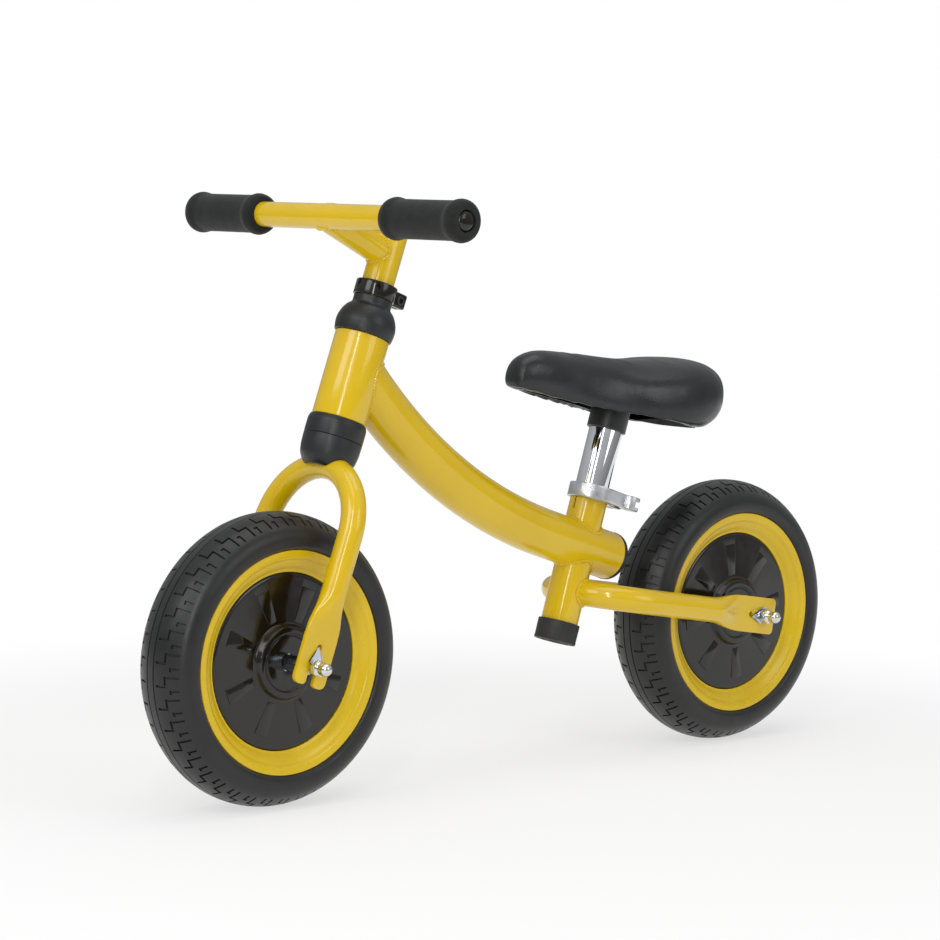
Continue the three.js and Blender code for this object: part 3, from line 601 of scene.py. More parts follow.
def weld_bead(line: Sequence[Vector], width: float, closed: bool = True, pitch: float = 2.6) -> BMesh:
    """A bead of weld metal laid along a line, rippled where each drop froze.

    Args:
        line: points along the joint.
        width: the bead's half width in mm.
        closed: whether the bead runs all the way round.
        pitch: mm from one ripple to the next.

    Returns:
        The bead as a mesh.
    """
    curve = bpy.data.curves.new("bead", "CURVE")
    curve.dimensions = "3D"
    curve.bevel_depth = width
    curve.bevel_resolution = 2
    curve.use_fill_caps = True
    spline = curve.splines.new("POLY")
    spline.points.add(len(line) - 1)
    spline.use_cyclic_u = closed
    travelled = 0.0
    for index, (point, spot) in enumerate(zip(spline.points, line)):
        if index:
            travelled += (spot - line[index - 1]).length
        point.co = (*spot, 1.0)
        point.radius = 1.0 + 0.16 * math.sin(math.tau * travelled / pitch)
    scratch = bpy.data.objects.new("bead", curve)
    bpy.context.scene.collection.objects.link(scratch)
    bm = evaluated(scratch)
    bpy.data.objects.remove(scratch)
    bpy.data.curves.remove(curve)
    bmesh.ops.recalc_face_normals(bm, faces=bm.faces[:])
    return bm


def seam(surface: Callable[[float, float], Vector], depth: Callable[[Vector], float],
         turns: Sequence[float], reach: tuple[float, float]) -> list[Vector]:
    """The line where one tube's surface enters another, found by halving along each of its sides.

    Args:
        surface: the first tube's surface point for a turn round it and a place along it.
        depth: how far a point is outside the second tube, below zero inside it.
        turns: the turns round the first tube.
        reach: a place outside the second tube, and one as far in as the line may go.

    Returns:
        A point for each turn.
    """
    line = []
    for turn in turns:
        outside, inside = reach
        for _ in range(24):
            middle = (outside + inside) / 2
            if depth(surface(turn, middle)) > 0:
                outside = middle
            else:
                inside = middle
        line.append(surface(turn, inside))
    return line


def resampled(line: Sequence[Vector], spacing: float, closed: bool = True) -> list[Vector]:
    """Spaces a line's points evenly.

    Args:
        line: the points it runs through.
        spacing: mm from one point to the next.
        closed: whether the line ends where it starts.

    Returns:
        The same line with points a fixed distance apart.
    """
    path = list(line) + [line[0]] if closed else list(line)
    points, carry = [], 0.0
    for start, end in zip(path, path[1:]):
        length = (end - start).length
        while carry < length:
            points.append(start.lerp(end, carry / length))
            carry += spacing
        carry -= length
    return points


def circle_turns(count: int) -> list[float]:
    """Equal turns round a full circle, in radians."""
    return [math.tau * index / count for index in range(count)]


def from_axis(point: Vector, origin: Vector, direction: Vector) -> float:
    """The distance from a point to a line."""
    offset = point - origin
    return (offset - direction * offset.dot(direction)).length


def ease(value: float) -> float:
    """A smooth step from 0 to 1."""
    held = min(max(value, 0.0), 1.0)
    return held * held * (3 - 2 * held)


# ---------------------------------------------------------------------------------- local frames
def axis_frame(origin: Vector, direction: Vector) -> Matrix:
    """A local frame in mm with +Z along a direction in the XZ plane and +Y kept."""
    lean = math.atan2(direction.x, direction.z)
    return Matrix.Translation(origin) @ Matrix.Rotation(lean, 4, "Y") @ Matrix.Scale(METRE, 4)


@dataclass(frozen=True)
class Places:
    """The local frames, each turning millimetres there into metres on the bike."""

    head: Matrix  # origin on the front axle, +Z up the steering axis
    seat: Matrix  # +Z up the seat tube, origin below the clamp
    stay: Matrix  # origin on the rear axle, +Z forward along the stays
    front: Matrix
    rear: Matrix

    STAY_RISE = 9.0  # degrees the stays rise towards the seat tube
    LEVER_PIN = Vector((-30.0, 23.3, 64.4))  # the lever's pin in the seat frame

    @classmethod
    def from_joints(cls, joints: Sequence[dict]) -> Places:
        """Reads the joints' axes and places.

        Args:
            joints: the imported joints.

        Returns:
            The frames that stand on them.
        """
        named = {joint["name"]: joint for joint in joints}
        front = Vector(named["front_wheel_spin"]["pos_m"])
        rear = Vector(named["rear_wheel_spin"]["pos_m"])
        up_seat = Vector(named["clamp_lever_swing"]["axis"])
        pin = Vector(named["clamp_lever_swing"]["pos_m"])
        turn = axis_frame(Vector(), up_seat)
        rise = math.radians(cls.STAY_RISE)
        return cls(
            head=axis_frame(front, Vector(named["steering"]["axis"])),
            seat=axis_frame(pin - turn @ cls.LEVER_PIN, up_seat),
            stay=axis_frame(rear, Vector((math.cos(rise), 0, math.sin(rise)))),
            front=axis_frame(front, Vector((0, 0, 1))),
            rear=axis_frame(rear, Vector((0, 0, 1))),
        )


@dataclass
class Workshop:
    """Finishes meshes into pieces: places, shades, dresses and mounts each one."""

    places: Places
    materials: dict[Slot, bpy.types.Material]
    count: int = 0

    def finish(self, name: str, bm: BMesh, place: Matrix, body: Body, slot: Slot,
               replaces: Sequence[str] = (), crease: float = 34.0) -> bpy.types.Object:
        """Turns a mesh in local mm into a piece on a body.

        Args:
            name: the piece's name.
            bm: its mesh, which is freed.
            place: the local frame.
            body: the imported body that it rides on.
            slot: the finish that it wears.
            replaces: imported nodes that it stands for.
            crease: degrees between faces above which an edge stays sharp.

        Returns:
            The finished object.
        """
        placed(bm, place)
        mesh = bpy.data.meshes.new(name)
        bm.to_mesh(mesh)
        bm.free()
        mesh.shade_smooth()
        mesh.set_sharp_from_angle(angle=math.radians(crease))
        piece = bpy.data.objects.new(name, mesh)
        bpy.context.scene.collection.objects.link(piece)
        self.dress(piece, slot)
        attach(piece, body.value)
        if replaces:
            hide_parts(*replaces)
        self.count += 1
        LOG.info("%s: %d faces on %s", name, len(mesh.polygons), body.value)
        return piece

    def dress(self, piece: bpy.types.Object, slot: Slot) -> None:
        """Gives a piece the material made for its slot."""
        piece.data.materials.clear()
        piece.data.materials.append(self.materials[slot])


# ------------------------------------------------------------------------------------ bent legs
@dataclass(frozen=True)
class Legs:
    """A U-bent tube whose two ends are pressed flat and cut to dropouts, standing on its axle line."""

    radius: float
    wall: float
    bend_height: float
    flat_below: float
    round_above: float
    open_slot: bool
    spread: float = 57.3
    half_width: float = 17.4
    half_thickness: float = 2.2
    below_axle: float = 16.3
    tab_height: float = 17.5
    sides: int = 48

    def rod(self, radius: float, start: float, steps: int) -> BMesh:
        """The bent rod that the legs are made from, and their bore.

        Args:
            radius: mm.
            start: the height its two ends stand at.
            steps: how many steps the straight part below the pressed stretch's end takes.

        Returns:
            The closed rod.
        """
        grown = BentRod(radius, Matrix.Translation((0, self.spread, start)), self.sides)
        grown.straight(self.round_above - start, steps)
        grown.straight(self.bend_height - self.round_above)
        grown.bend(Vector((0, 0, self.bend_height)), Vector((1, 0, 0)), math.pi, 40)
        grown.straight(self.bend_height - self.round_above)
        return grown.straight(self.round_above - start, steps).closed()

    def press(self, bm: BMesh) -> None:
        """Presses the lowest stretch of both legs flat and wide."""
        for vert in bm.verts:
            share = 1 - ease((vert.co.z - self.flat_below) / (self.round_above - self.flat_below))
            side = math.copysign(1.0, vert.co.y)
            offset = vert.co.y - side * self.spread
            held = min(max(offset, -self.half_thickness), self.half_thickness)
            vert.co.y = side * self.spread + offset * (1 - share) + held * share
            vert.co.x *= 1 + share * (self.half_width / self.radius - 1)

    def dropout(self, side: Side) -> BMesh:
        """The flat plate at one end.

        Args:
            side: which leg it ends.

        Returns:
            Two rounded prongs where the slot is open, a square end where it is not.
        """
        top, low, wide, slot = self.flat_below - 2, -self.below_axle, self.half_width, 4.3
        if self.open_slot:
            prong = [(slot, low, 4.0), (slot, 0.0)]
            outline = [(-wide, top), (-wide, low, 6.0), (-slot, low, 4.0), (-slot, 0.0),
                       *prong[::-1], (wide, low, 6.0), (wide, top)]
        else:
            outline = [(-wide, top), (-wide, low, 4.5), (wide, low, 4.5), (wide, top)]
        flat = soften(plate(outline, -self.half_thickness, self.half_thickness), 0.6, 2, 60.0)
        return moved(placed(flat, Matrix.Rotation(math.pi / 2, 4, "X")), y=side.sign * self.spread)

    def solid(self) -> tuple[BMesh, list[BMesh]]:
        """The legs with their dropouts, and the cutters for the axle, the tab holes and the bore.

        Returns:
            The outer solid and the solids to cut from it.
        """
        outer = self.rod(self.radius, 3.0, 20)
        self.press(outer)
        cutters = [self.rod(self.radius - self.wall, self.round_above, 1)]
        for side in Side:
            across = [side.sign * self.spread + way * 8 for way in (-1, 1)]
            for radius, height in ((4.3, 0.0), (2.6, self.tab_height)):
                cutters.append(moved(placed(rod(radius, *across, steps=32), AXLE_LINE), z=height))
            if self.open_slot:
                cutters.append(block((-4.3, across[0], -self.below_axle - 2), (4.3, across[1], 0)))
        body = combined(outer, [self.dropout(side) for side in Side])
        return body, cutters

    def arch_point(self, turn: float, angle: float) -> Vector:
        """A point on the bend's surface.

        Args:
            turn: the turn round the tube, in radians.
            angle: the angle round the bend, in radians.

        Returns:
            The point, in mm in the legs' frame.
        """
        out = Vector((0, math.cos(angle), math.sin(angle)))
        centre = out * self.spread + Vector((0, 0, self.bend_height))
        across = Vector((1, 0, 0)) * (self.radius * math.sin(turn))
        return centre + out * (self.radius * math.cos(turn)) + across

    def dimples(self) -> list[BMesh]:
        """The raised ring that the punch leaves round each tab hole, on both faces of each plate."""
        rings = []
        for side in Side:
            for face in (-1, 1):
                rim = turned([(3.2, -0.4), (6.0, -0.4), (4.6, 0.45, 0.5), (3.2, 0.3)], steps=40, segments=3)
                at = side.sign * self.spread + face * self.half_thickness
                facing = Matrix.Rotation(-face * math.pi / 2, 4, "X")
                rings.append(moved(placed(rim, facing), 0, at, self.tab_height))
        return rings


FORK_LEGS = Legs(radius=11.0, wall=1.5, bend_height=115.7, flat_below=30.0, round_above=66.0,
                 open_slot=True)
STAY_LEGS = Legs(radius=12.0, wall=1.5, bend_height=146.4, flat_below=34.0, round_above=72.0,
                 open_slot=False)


# ---------------------------------------------------------------------------------------- frame
@dataclass
class Frame:
    """The welded frame: down tube, head tube, seat tube and stays, with its plug, foot, cup and bushes."""

    shop: Workshop
    down_radius: float = 22.5
    down_bore: float = 20.5
    down_height: float = 14.4  # of its middle line above the seat frame's origin
    down_behind: float = 41.0
    down_straight: float = 43.5
    bend_radius: float = 492.6
    bend_angle: float = math.radians(33.4)
    head_radius: float = 24.0
    head_bore: float = 21.5
    head_span: tuple[float, float] = (215.0, 291.0)
    seat_radius: float = 17.5
    seat_bore: float = 16.2
    bead_rise: float = 0.5  # how far a bead's middle stands off a thin tube, so it stays out of the bore
    seat_span: tuple[float, float] = (-59.8, 70.6)
    legs: Legs = STAY_LEGS

    def build(self) -> None:
        """Builds the weldment and what is pushed onto it."""
        self.weldment()
        self.down_tube_plug()
        self.foot()
        self.lower_cup()
        self.bushes()

    def in_seat(self, bm: BMesh, frame: Matrix) -> BMesh:
        """Moves a mesh from another local frame into the seat frame, where the weldment is made."""
        return placed(bm, self.shop.places.seat.inverted() @ frame)

    def down_rod(self, radius: float, spare: float) -> BMesh:
        """The bent down tube as a solid rod in the seat frame.

        Args:
            radius: mm.
            spare: mm it is longer by at the rear.

        Returns:
            The closed rod.
        """
        rear = Matrix.Translation((-self.down_behind - spare, 0, self.down_height))
        start = rear @ Matrix.Rotation(math.pi / 2, 4, "Y")
        grown = BentRod(radius, start, 64).straight(self.down_behind + spare + self.down_straight, 2)
        centre = Vector((self.down_straight, 0, self.down_height + self.bend_radius))
        return grown.bend(centre, Vector((0, -1, 0)), self.bend_angle, 36).closed()

    def weldment(self) -> None:
        """Joins the tubes, bores them, and lays the weld beads."""
        places = self.shop.places
        legs, leg_cutters = self.legs.solid()
        head = rod(self.head_radius, *self.head_span, steps=96, cut=0.8)
        head_bore = rod(self.head_bore, self.head_span[0] - 1, self.head_span[1] + 1, steps=96)
        seat = rod(self.seat_radius, *self.seat_span, steps=80, cut=0.5)
        seat_bore = rod(self.seat_bore, self.seat_span[0] - 1, self.seat_span[1] + 1, steps=80)
        slit = block((10, -1.2, 46), (20, 1.2, self.seat_span[1] + 1))
        cutters = [self.down_rod(self.down_bore, 1.0), self.in_seat(head_bore, places.head)]
        cutters += [seat_bore, slit]
        cutters += [self.in_seat(bm, places.stay) for bm in leg_cutters]
        added = [self.in_seat(head, places.head), seat, self.in_seat(legs, places.stay)]
        body = combined(self.down_rod(self.down_radius, 0.0), added, cutters)
        dimples = [self.in_seat(rim, places.stay) for rim in self.legs.dimples()]
        whole = merged([body, *self.beads(), *dimples])
        self.shop.finish("welded_frame", whole, places.seat, Body.FRAME, Slot.YELLOW_ENAMEL,
                         ["frame"], 30.0)

    def beads(self) -> list[BMesh]:
        """The weld beads at the head tube, round the down tube, and where the stays meet the seat tube."""
        places = self.shop.places
        to_seat = places.seat.inverted()
        head_origin = to_seat @ places.head @ Vector((0, 0, 0))
        head_way = ((to_seat @ places.head).to_3x3() @ Vector((0, 0, 1))).normalized()
        centre = Vector((self.down_straight, 0, self.down_height + self.bend_radius))

        def down_surface(turn: float, angle: float) -> Vector:
            """A point on the down tube's bend, by its turn and the angle round the bend."""
            out = Vector((math.sin(angle), 0, -math.cos(angle)))
            middle = centre + out * self.bend_radius
            across = Vector((0, self.down_radius * math.sin(turn), 0))
            return middle + out * (self.down_radius * math.cos(turn)) + across

        def seat_surface(turn: float, height: float) -> Vector:
            """A point just off the seat tube, by its turn and height."""
            radius = self.seat_radius + self.bead_rise
            return Vector((radius * math.cos(turn), radius * math.sin(turn), height))

        down_origin, down_way = Vector((0, 0, self.down_height)), Vector((1, 0, 0))
        stay_to_seat = to_seat @ places.stay
        turns = circle_turns(72)
        at_head = seam(down_surface, lambda p: from_axis(p, head_origin, head_way) - self.head_radius,
                       turns, (self.bend_angle - 0.13, self.bend_angle))
        beads = [weld_bead(resampled(at_head, BEAD_STEP), 1.5)]
        for start in (46.0, -30.0):
            line = seam(seat_surface, lambda p: from_axis(p, down_origin, down_way) - self.down_radius,
                        turns, (start, self.down_height))
            beads.append(weld_bead(resampled(line, BEAD_STEP), 1.5))
        for side in Side:
            def stay_surface(turn: float, angle: float, sign: int = side.sign) -> Vector:
                """A point on one side of the stays' bend, by its turn and the angle round the bend."""
                point = self.legs.arch_point(turn, angle)
                return stay_to_seat @ Vector((point.x, point.y * sign, point.z))

            line = seam(stay_surface, lambda p: math.hypot(p.x, p.y) - self.seat_radius - self.bead_rise,
                        turns, (math.radians(40), math.radians(88)))
            beads.append(weld_bead(resampled(line, BEAD_STEP), 1.5))
        return beads

    def down_tube_plug(self) -> None:
        """The domed plug in the open rear end of the down tube."""
        rim = self.down_radius + 0.4
        profile = [(0, -7), (self.down_bore - 0.8, -7, 1.0), (self.down_bore - 0.8, 0.3), (rim, 0.3, 0.6),
                   (rim - 0.6, 5.2, 2.4), (rim - 8.5, 9.4, 3.0), (0, 9.9)]
        rear = Matrix.Translation((-self.down_behind, 0, self.down_height))
        back = rear @ Matrix.Rotation(-math.pi / 2, 4, "Y")
        plug = placed(turned(profile, closed=False, segments=5), back)
        self.shop.finish("down_tube_end_plug", plug, self.shop.places.seat, Body.FRAME,
                         Slot.SATIN_BLACK_PLASTIC, ["down_tube_plug"])

    def foot(self) -> None:
        """The rubber foot on the lower end of the seat tube, with a moulded rim and grip rings below."""
        low = self.seat_span[0]
        inner, outer = self.seat_radius + 0.3, self.seat_radius + 2.3
        bottom, top = low - 18.5, low + 0.6
        grips = [(0, bottom + 1.2), (6.0, bottom + 1.2, 0.4), (6.6, bottom, 0.4), (9.4, bottom, 0.4),
                 (10, bottom + 1.2, 0.4), (13, bottom + 1.2, 0.4), (13.6, bottom, 0.4)]
        wall = [(outer - 0.4, bottom, 0.6), (outer, bottom + 2.2, 0.5), (outer - 0.35, bottom + 3.0, 0.3),
                (outer - 0.1, top, 0.5), (inner, top), (inner, low - 0.3), (0, low - 0.3)]
        foot = turned(grips + wall, closed=False)
        self.shop.finish("seat_tube_rubber_foot", foot, self.shop.places.seat, Body.FRAME,
                         Slot.FOOT_RUBBER, ["seat_tube_foot"])

    def lower_cup(self) -> None:
        """The plastic cup between the head tube and the crown cover."""
        seam_height, inner, outer = 197.7, 16.5, 26.2
        profile = [(inner, seam_height), (outer, seam_height, 0.5), (outer, self.head_span[0] - 4.2, 1.6),
                   (outer - 1.3, self.head_span[0] - 0.3, 0.8), (inner, self.head_span[0] - 0.3)]
        self.shop.finish("lower_head_tube_cup", turned(profile), self.shop.places.head, Body.FRAME,
                         Slot.SATIN_BLACK_PLASTIC, ["lower_head_cup"])

    def bushes(self) -> None:
        """The two plain bearings that the steerer turns in."""
        inner, outer, flange = 16.15, self.head_bore - 0.3, self.head_radius - 1.5
        low, high = self.head_span
        upper = turned([(inner, high - 16), (outer, high - 16, 0.5), (outer, high + 0.3),
                        (flange, high + 0.3), (flange, high + 2.5, 0.5), (inner, high + 2.5, 0.5)])
        lower = ring(inner, outer, low + 0.5, low + 16.5, cut=0.5)
        for name, bush in (("upper", upper), ("lower", lower)):
            self.shop.finish(f"{name}_steering_bush", bush, self.shop.places.head, Body.FRAME,
                             Slot.BUSH_PLASTIC, [f"{name}_head_bush"])


# ----------------------------------------------------------------------------------- seat clamp
@dataclass
class SeatClamp:
    """The quick-release clamp round the top of the seat tube, in the seat frame."""

    shop: Workshop
    low: float = 57.6
    high: float = 71.2
    inner: float = 17.8
    outer: float = 21.0
    ear_x: float = -30.0
    pin_y: float = 23.3
    cam_radius: float = 9.0
    lever_radius: float = 25.2  # of the handle's middle line round the seat tube
    lever_thickness: float = 4.3
    lever_turn: float = math.radians(95)  # where the straight end meets the curved handle
    lever_tip: float = math.radians(18)
    knurls: int = 18  # ribs round the adjusting nut

    @property
    def height(self) -> float:
        """The middle of the clamp."""
        return (self.low + self.high) / 2

    def build(self) -> None:
        """Builds the band, its fasteners and the lever."""
        places = self.shop.places
        self.shop.finish("seat_clamp_collar", self.band(), places.seat, Body.FRAME, Slot.CAST_ALUMINIUM,
                         ["seat_clamp_band"])
        self.fasteners()
        self.shop.finish("quick_release_lever", self.lever(), places.seat, Body.LEVER,
                         Slot.CAST_ALUMINIUM, ["clamp_lever"], 28.0)

    def band(self) -> BMesh:
        """The split ring with its two ears."""
        band = ring(self.inner, self.outer, self.low, self.high, cut=0.9)
        ears = soften(block((-36.5, -8.5, self.low + 0.5), (-19, 8.5, self.high - 0.5)), 1.6, 4)
        split = block((-39, -1.5, self.low - 1), (-15, 1.5, self.high + 1))
        bore = rod(self.inner, self.low - 1, self.high + 1, steps=96)
        hole = moved(placed(rod(2.8, -12, 12, steps=32), AXLE_LINE), self.ear_x, 0, self.height)
        return combined(band, [ears], [split, bore, hole])

    def across(self, bm: BMesh) -> BMesh:
        """Lays a shape made round +Z along the clamp's skewer."""
        return moved(placed(bm, AXLE_LINE), self.ear_x, 0, self.height)

    def fasteners(self) -> None:
        """The skewer, its adjusting nut, the cam's dished washer and the pin."""
        seat = self.shop.places.seat
        skewer = self.across(rod(2.5, -16, self.pin_y - 3.3, steps=32, cut=0.4))
        self.shop.finish("quick_release_skewer", skewer, seat, Body.FRAME, Slot.ZINC_STEEL,
                         ["clamp_skewer"])
        knurl = []
        for turn in circle_turns(self.knurls):
            rib = soften(block((-0.55, 5.6, -14.2), (0.55, 6.4, -9.6)), 0.15, 1)
            knurl.append(placed(rib, Matrix.Rotation(turn, 4, "Z")))
        nut = merged([ring(2.65, 6.0, -15, -8.8, cut=0.8, steps=48), *knurl])
        self.shop.finish("skewer_adjusting_nut", self.across(nut), seat, Body.FRAME,
                         Slot.CAST_ALUMINIUM, ["clamp_adjusting_nut"])
        dish = [(2.65, 8.8), (6.2, 8.8, 0.5), (6.2, 11.5, 0.5), (4.8, 14.0, 0.5), (2.65, 13.0)]
        self.shop.finish("cam_dished_washer", self.across(turned(dish, steps=48)), seat, Body.FRAME,
                         Slot.SATIN_BLACK_PLASTIC, ["clamp_cam_washer"])
        pin = rod(3.0, self.low + 0.5, self.high - 0.5, steps=40, cut=0.4)
        pin = moved(pin, self.ear_x, self.pin_y)
        self.shop.finish("cam_cross_pin", pin, seat, Body.FRAME, Slot.ZINC_STEEL, ["clamp_cam_pin"])

    def wrapped(self, bm: BMesh) -> BMesh:
        """Bends the lever round the seat tube.

        Args:
            bm: the lever, straight along +X with +Y outwards.

        Returns:
            The same mesh, bent.
        """
        corner = self.lever_radius * Vector((math.cos(self.lever_turn), math.sin(self.lever_turn)))
        pin = Vector((self.ear_x, self.pin_y))
        way = (corner - pin).normalized()
        straight = (corner - pin).length
        for vert in bm.verts:
            along, out = vert.co.x, vert.co.y
            if along <= straight:
                spot = pin + way * along + Vector((-way.y, way.x)) * out
            else:
                angle = self.lever_turn - (along - straight) / self.lever_radius
                spot = Vector((math.cos(angle), math.sin(angle))) * (self.lever_radius + out)
            vert.co.x, vert.co.y = spot
        return bm

    def lever(self) -> BMesh:
        """The cast lever.

        Returns:
            A forked cam end and a thin handle with a sunk panel and a three-cornered pocket.
        """
        low, high, half = self.low + 0.5, self.high - 0.5, self.lever_thickness / 2
        middle = self.height
        length = 25.0 + self.lever_radius * (self.lever_turn - self.lever_tip)
        bm = bmesh.new()
        bmesh.ops.create_grid(bm, x_segments=56, y_segments=8, size=0.5)
        span = Matrix.Translation((length / 2, 0, middle)) @ Matrix.Rotation(math.pi / 2, 4, "X")
        placed(bm, span @ Matrix.Diagonal((length, high - low, 1, 1)))
        tip = (high - low) / 2
        for vert in bm.verts:
            past = max(vert.co.x - (length - tip), 0.0)
            vert.co.z = middle + (vert.co.z - middle) * math.sqrt(max(1 - (past / tip) ** 2, 0.02))
        lifted = bmesh.ops.extrude_face_region(bm, geom=bm.faces[:])
        bmesh.ops.translate(bm, vec=(0, 2 * half, 0), verts=verts_of(lifted))
        moved(bm, y=-half)
        bmesh.ops.recalc_face_normals(bm, faces=bm.faces[:])
        soften(bm, 0.7, 3, 50.0)
        panel = plate([(8, low + 2.2, 1), (length - 19, low + 2.2, 1),
                       (length - 21, high - 2.2, 1), (8, high - 2.2, 1)], -0.7, 1)
        pocket = plate([(length - 17, low + 2.4, 0.8), (length - 6, low + 3.0, 2.0),
                        (length - 8.5, high - 2.4, 0.8)], -1.6, 1)
        tools = []
        for tool in (panel, pocket):
            upright = moved(placed(tool, Matrix.Rotation(math.pi / 2, 4, "X")), y=half)
            bmesh.ops.bisect_plane(upright, geom=upright.verts[:] + upright.edges[:] + upright.faces[:],
                                   plane_co=(length / 2, 0, 0), plane_no=(1, 0, 0))
            tools.append(upright)
        handle = combined(bm, cut=tools)
        for station in range(1, 28):
            bmesh.ops.bisect_plane(handle, geom=handle.verts[:] + handle.edges[:] + handle.faces[:],
                                   plane_co=(length * station / 28, 0, 0), plane_no=(1, 0, 0))
        self.wrapped(handle)
        cam = moved(rod(self.cam_radius, low, high, steps=56, cut=0.8), self.ear_x, self.pin_y)
        slot = rod(self.cam_radius + 6, middle - 3.2, middle + 3.2, steps=24)
        slot = moved(slot, self.ear_x - 5.4, self.pin_y - 4.5)
        bore = moved(rod(3.15, self.low, self.high, steps=40), self.ear_x, self.pin_y)
        return combined(handle, [cam], [slot, bore])


# ------------------------------------------------------------------------------------------ fork
@dataclass
class Fork:
    """The fork with its covers and the clamp that holds the handlebar, in the head frame."""

    shop: Workshop
    legs: Legs = FORK_LEGS
    steerer: float = 15.9
    steerer_bore: float = 14.5
    steerer_top: float = 338.0
    cover_low: float = 171.0
    cover_seam: float = 197.4
    head_top: float = 291.0
    clamp_low: float = 326.0
    clamp_high: float = 339.3

    def build(self) -> None:
        """Builds the fork and everything fixed to it."""
        self.weldment()
        self.crown_cover()
        self.ball_cover()
        self.clamp()

    def weldment(self) -> None:
        """The bent legs with the steerer welded on top."""
        legs, cutters = self.legs.solid()
        crown = self.legs.bend_height + self.legs.spread
        steerer = rod(self.steerer, crown + 2, self.steerer_top, steps=80, cut=0.4)
        cutters.append(rod(self.steerer_bore, crown + self.legs.radius + 1, self.steerer_top + 1,
                           steps=80))
        cutters.append(block((-20, -1.2, self.clamp_low - 12), (-8, 1.2, self.steerer_top + 1)))
        body = combined(legs, [steerer], cutters)
        whole = merged([body, *self.legs.dimples()])
        self.shop.finish("front_fork", whole, self.shop.places.head, Body.FORK, Slot.YELLOW_ENAMEL,
                         ["fork"], 30.0)

    def crown_cover(self) -> None:
        """The rounded cover that sits astride the fork's bend."""
        inner, outer, low, top = self.steerer + 0.6, 26.2, self.cover_low, self.cover_seam
        profile = [(inner, low), (outer - 7.5, low, 2.0), (outer - 2.6, low + 5.5, 4.2),
                   (outer - 0.4, low + 14, 4.5), (outer, top, 0.5), (inner, top)]
        arch = self.legs.rod(self.legs.radius + 0.3, 60.0, 1)
        cover = combined(turned(profile, segments=6), cut=[arch])
        self.shop.finish("fork_crown_cover", cover, self.shop.places.head, Body.FORK,
                         Slot.SATIN_BLACK_PLASTIC, ["crown_cover"])

    def ball_cover(self) -> None:
        """The round-shouldered cover over the upper bush, with its neck up to the clamp."""
        top, neck, shelf = self.head_top, 17.2, self.clamp_low - 0.3
        profile = [(23.1, top + 0.3), (25.4, top + 0.3, 0.8), (26.6, top + 6.6, 3.2),
                   (26.6, top + 12, 3.6), (24.4, top + 19.5, 3.6), (20.6, top + 25.2, 2.6),
                   (neck, top + 27.6, 1.6), (neck, shelf, 0.3), (self.steerer + 0.3, shelf),
                   (self.steerer + 0.3, top + 3), (23.1, top + 3)]
        self.shop.finish("upper_head_ball_cover", turned(profile, segments=6), self.shop.places.head,
                         Body.FORK, Slot.SATIN_BLACK_PLASTIC, ["head_ball_cover"])

    def clamp(self) -> None:
        """The split clamp ring, its bolt and its nut."""
        inner, outer = self.steerer + 0.3, self.steerer + 2.6
        low, high = self.clamp_low, self.clamp_high
        ear, side, middle = -25.0, 7.2, (low + high) / 2
        body = ring(inner, outer, low, high, cut=0.8)
        ears = soften(block((-31.5, -side, low), (-15.8, side, high)), 1.8, 4)
        cutters = [block((-34, -1.2, low - 1), (-14, 1.2, high + 1)),
                   rod(inner, low - 1, high + 1, steps=96)]
        for radius, start in ((2.8, -9.0), (4.8, side - 2.6)):
            cutters.append(moved(placed(rod(radius, start, 9, steps=40), AXLE_LINE), ear, 0, middle))
        place = self.shop.places.head
        self.shop.finish("handlebar_clamp_ring", combined(body, [ears], cutters), place, Body.FORK,
                         Slot.GLOSS_BLACK_PLASTIC, ["bar_clamp"])
        head = turned([(0, -11), (2.5, -11, 0.4), (2.5, side - 2.3), (4.4, side - 2.3, 0.2),
                       (4.4, side + 0.2, 0.5), (0, side + 0.2)], closed=False, steps=48)
        key = rod(2.5, side - 2.0, side + 2, steps=6)
        bolt = moved(placed(combined(head, cut=[key]), AXLE_LINE), ear, 0, middle)
        self.shop.finish("clamp_socket_bolt", bolt, place, Body.FORK, Slot.BLACK_STEEL,
                         ["bar_clamp_bolt"])
        nut = combined(rod(4.6, -side - 3.9, -side - 0.3, steps=6), cut=[rod(2.65, -14, 0, steps=40)])
        nut = moved(placed(soften(nut, 0.3, 2, 50.0), AXLE_LINE), ear, 0, middle)
        self.shop.finish("clamp_hex_nut", nut, place, Body.FORK, Slot.BLACK_STEEL, ["bar_clamp_nut"])


